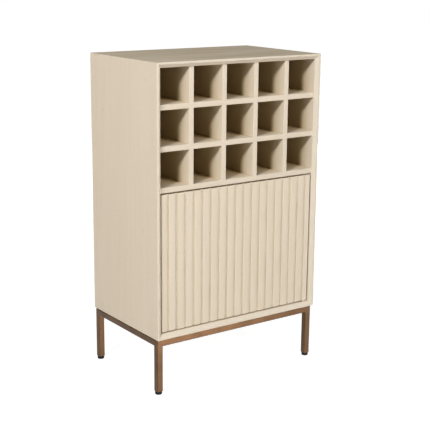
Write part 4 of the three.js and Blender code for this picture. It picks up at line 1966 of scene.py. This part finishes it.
@dataclass(frozen=True)
class Lamp:
    """A soft square lamp.

    Args:
        name: the lamp's name.
        place: where it hangs, in metres.
        size: its width.
        power: its power in watts.
        tint: its light's colour.
        gloss_only: whether only glossy surfaces show it.
    """

    name: str
    place: Point
    size: float
    power: float
    tint: str = "#FFFFFF"
    gloss_only: bool = False

    def build(self, target: Sequence[float]) -> None:
        """Hangs the lamp.

        Args:
            target: where it looks, in metres.
        """
        data = bpy.data.lights.new(self.name, "AREA")
        data.shape, data.size, data.energy = "SQUARE", self.size, self.power
        data.color = linear_from_hex(self.tint)[:3]
        lamp = bpy.data.objects.new(self.name, data)
        lamp.location = self.place
        lamp.visible_camera = False
        lamp.visible_diffuse = not self.gloss_only
        lamp.rotation_mode = "QUATERNION"
        lamp.rotation_quaternion = (Vector(target) - Vector(self.place)).to_track_quat("-Z", "Y")
        bpy.context.scene.collection.objects.link(lamp)


@dataclass
class Studio:
    """A pale floor, a white surround, soft lamps and the photograph's camera.

    The key lamp hangs high to the front left, the fill lamp before the cabinet, a dim one behind it, and
    a small one low in front, which only the lacquer's sheen shows.
    """

    image_side: int = 430
    focal_pixels: float = 1039.46
    sensor: float = 36.0
    camera_place: Point = (-1.850996, -2.634632, 1.263655)
    yaw: float = 0.62226342
    pitch: float = 0.23863878
    roll: float = -0.00963857
    target: Point = (0.0, -0.1, 0.65)
    lamps: tuple[Lamp, ...] = (
        Lamp("key_lamp", (-4.33, -2.46, 3.27), 0.8, 233.0),
        Lamp("fill_lamp", (0.95, -5.3, 2.6), 1.4, 138.0, "#FBFCFF"),
        Lamp("rear_lamp", (2.6, 3.4, 0.5), 0.8, 130.0),
        Lamp("low_gloss_lamp", (0.4, -1.4, 0.1), 0.5, 32.0, "#FFF0E0", True),
    )
    ambient: float = 0.08
    paint: str = "#DEDCD8"
    shadow_paint: float = 0.24
    shadow_reach: tuple[float, float] = (0.7, 2.2)
    shadow_ground: float = 0.93
    floor_size: float = 24.0

    def camera(self) -> None:
        """Makes the camera that was fitted to the photograph's edges."""
        ahead = math.cos(self.pitch)
        forward = Vector((math.sin(self.yaw) * ahead, math.cos(self.yaw) * ahead, -math.sin(self.pitch)))
        level = Vector((math.cos(self.yaw), -math.sin(self.yaw), 0))
        down = forward.cross(level)
        right = level * math.cos(self.roll) + down * math.sin(self.roll)
        down = down * math.cos(self.roll) - level * math.sin(self.roll)
        turn = Matrix((right, -down, -forward)).transposed()
        data = bpy.data.cameras.new("studio_camera")
        data.sensor_width = self.sensor
        data.lens = self.sensor * self.focal_pixels / self.image_side
        camera = bpy.data.objects.new("studio_camera", data)
        camera.matrix_world = Matrix.Translation(self.camera_place) @ turn.to_4x4()
        bpy.context.scene.collection.objects.link(camera)
        bpy.context.scene.camera = camera

    def seen_directly(self, tree: Tree) -> Socket:
        """Makes a factor for what the eye, a gloss or a clear body sees.

        Args:
            tree: the node tree that takes it.

        Returns:
            The factor's socket, 1 for those and 0 for soft light.
        """
        rays = add_node(tree, "ShaderNodeLightPath").outputs
        seen = rays["Is Camera Ray"]
        for ray in ("Is Glossy Ray", "Is Transmission Ray"):
            inputs = {0: seen, 1: rays[ray]}
            seen = add_node(tree, "ShaderNodeMath", {"operation": "MAXIMUM"}, inputs).outputs[0]
        return seen

    def surround(self) -> None:
        """Makes the world: white to look at, and an even, plain level of light."""
        world = bpy.data.worlds.new("white_surround")
        world.use_nodes = True
        tree = world.node_tree
        tree.nodes.clear()
        inputs = {"Value": self.seen_directly(tree), "To Min": self.ambient, "To Max": 1.0}
        strength = add_node(tree, "ShaderNodeMapRange", {}, inputs).outputs[0]
        inputs = {"Color": linear_from_hex("#FFFFFF"), "Strength": strength}
        white = add_node(tree, "ShaderNodeBackground", {}, inputs)
        add_node(tree, "ShaderNodeOutputWorld", {}, {"Surface": white.outputs[0]})
        bpy.context.scene.world = world

    def floor(self) -> None:
        """Makes the pale floor, which looks white but keeps the cabinet's soft shadow."""
        half = self.floor_size / 2
        mesh = bmesh.new()
        corners = [mesh.verts.new((x * half, y * half, 0)) for x, y in ((-1, -1), (1, -1), (1, 1), (-1, 1))]
        mesh.faces.new(corners)
        floor = make_object("pale_floor", mesh)
        material = bpy.data.materials.new("pale_painted_floor")
        material.use_nodes = True
        tree = material.node_tree
        tree.nodes.clear()
        place = add_node(tree, "ShaderNodeTexCoord").outputs["Object"]
        reach = add_node(tree, "ShaderNodeVectorMath", {"operation": "LENGTH"}, {0: place}).outputs["Value"]
        near, far = self.shadow_reach
        inputs = {"Value": reach, "From Min": near, "From Max": far, "To Min": self.shadow_ground}
        strength = add_node(tree, "ShaderNodeMapRange", SMOOTH_RANGE, inputs).outputs[0]
        paint = add_node(tree, "ShaderNodeBsdfDiffuse", {}, {"Color": linear_from_hex(self.paint)})
        grey = (self.shadow_paint, self.shadow_paint, self.shadow_paint, 1.0)
        shaded = add_node(tree, "ShaderNodeBsdfDiffuse", {}, {"Color": grey})
        glow = add_node(tree, "ShaderNodeEmission", {}, {"Strength": strength})
        lit = add_node(tree, "ShaderNodeAddShader", {}, {0: shaded.outputs[0], 1: glow.outputs[0]})
        inputs = {0: self.seen_directly(tree), 1: paint.outputs[0], 2: lit.outputs[0]}
        shown = add_node(tree, "ShaderNodeMixShader", {}, inputs)
        add_node(tree, "ShaderNodeOutputMaterial", {}, {"Surface": shown.outputs[0]})
        floor.data.materials.append(material)

    def build(self) -> None:
        """Makes the studio."""
        bpy.context.scene.view_settings.view_transform = "Standard"
        self.camera()
        self.surround()
        self.floor()
        for lamp in self.lamps:
            lamp.build(self.target)


def main() -> None:
    """Builds the studio and the cabinet."""
    logging.basicConfig(level=logging.INFO, format="%(name)s: %(message)s", stream=sys.stdout)
    Studio().build()
    rack, fittings, cupboard, latch, base = BottleRack(), PivotFittings(), Cupboard(), TouchLatch(), Base()
    Case().build(rack, fittings, cupboard, latch, base)
    rack.build(fittings)
    cupboard.build()
    Door().build()
    fittings.build()
    latch.build()
    base.build()


if __name__ == "__main__":
    main()
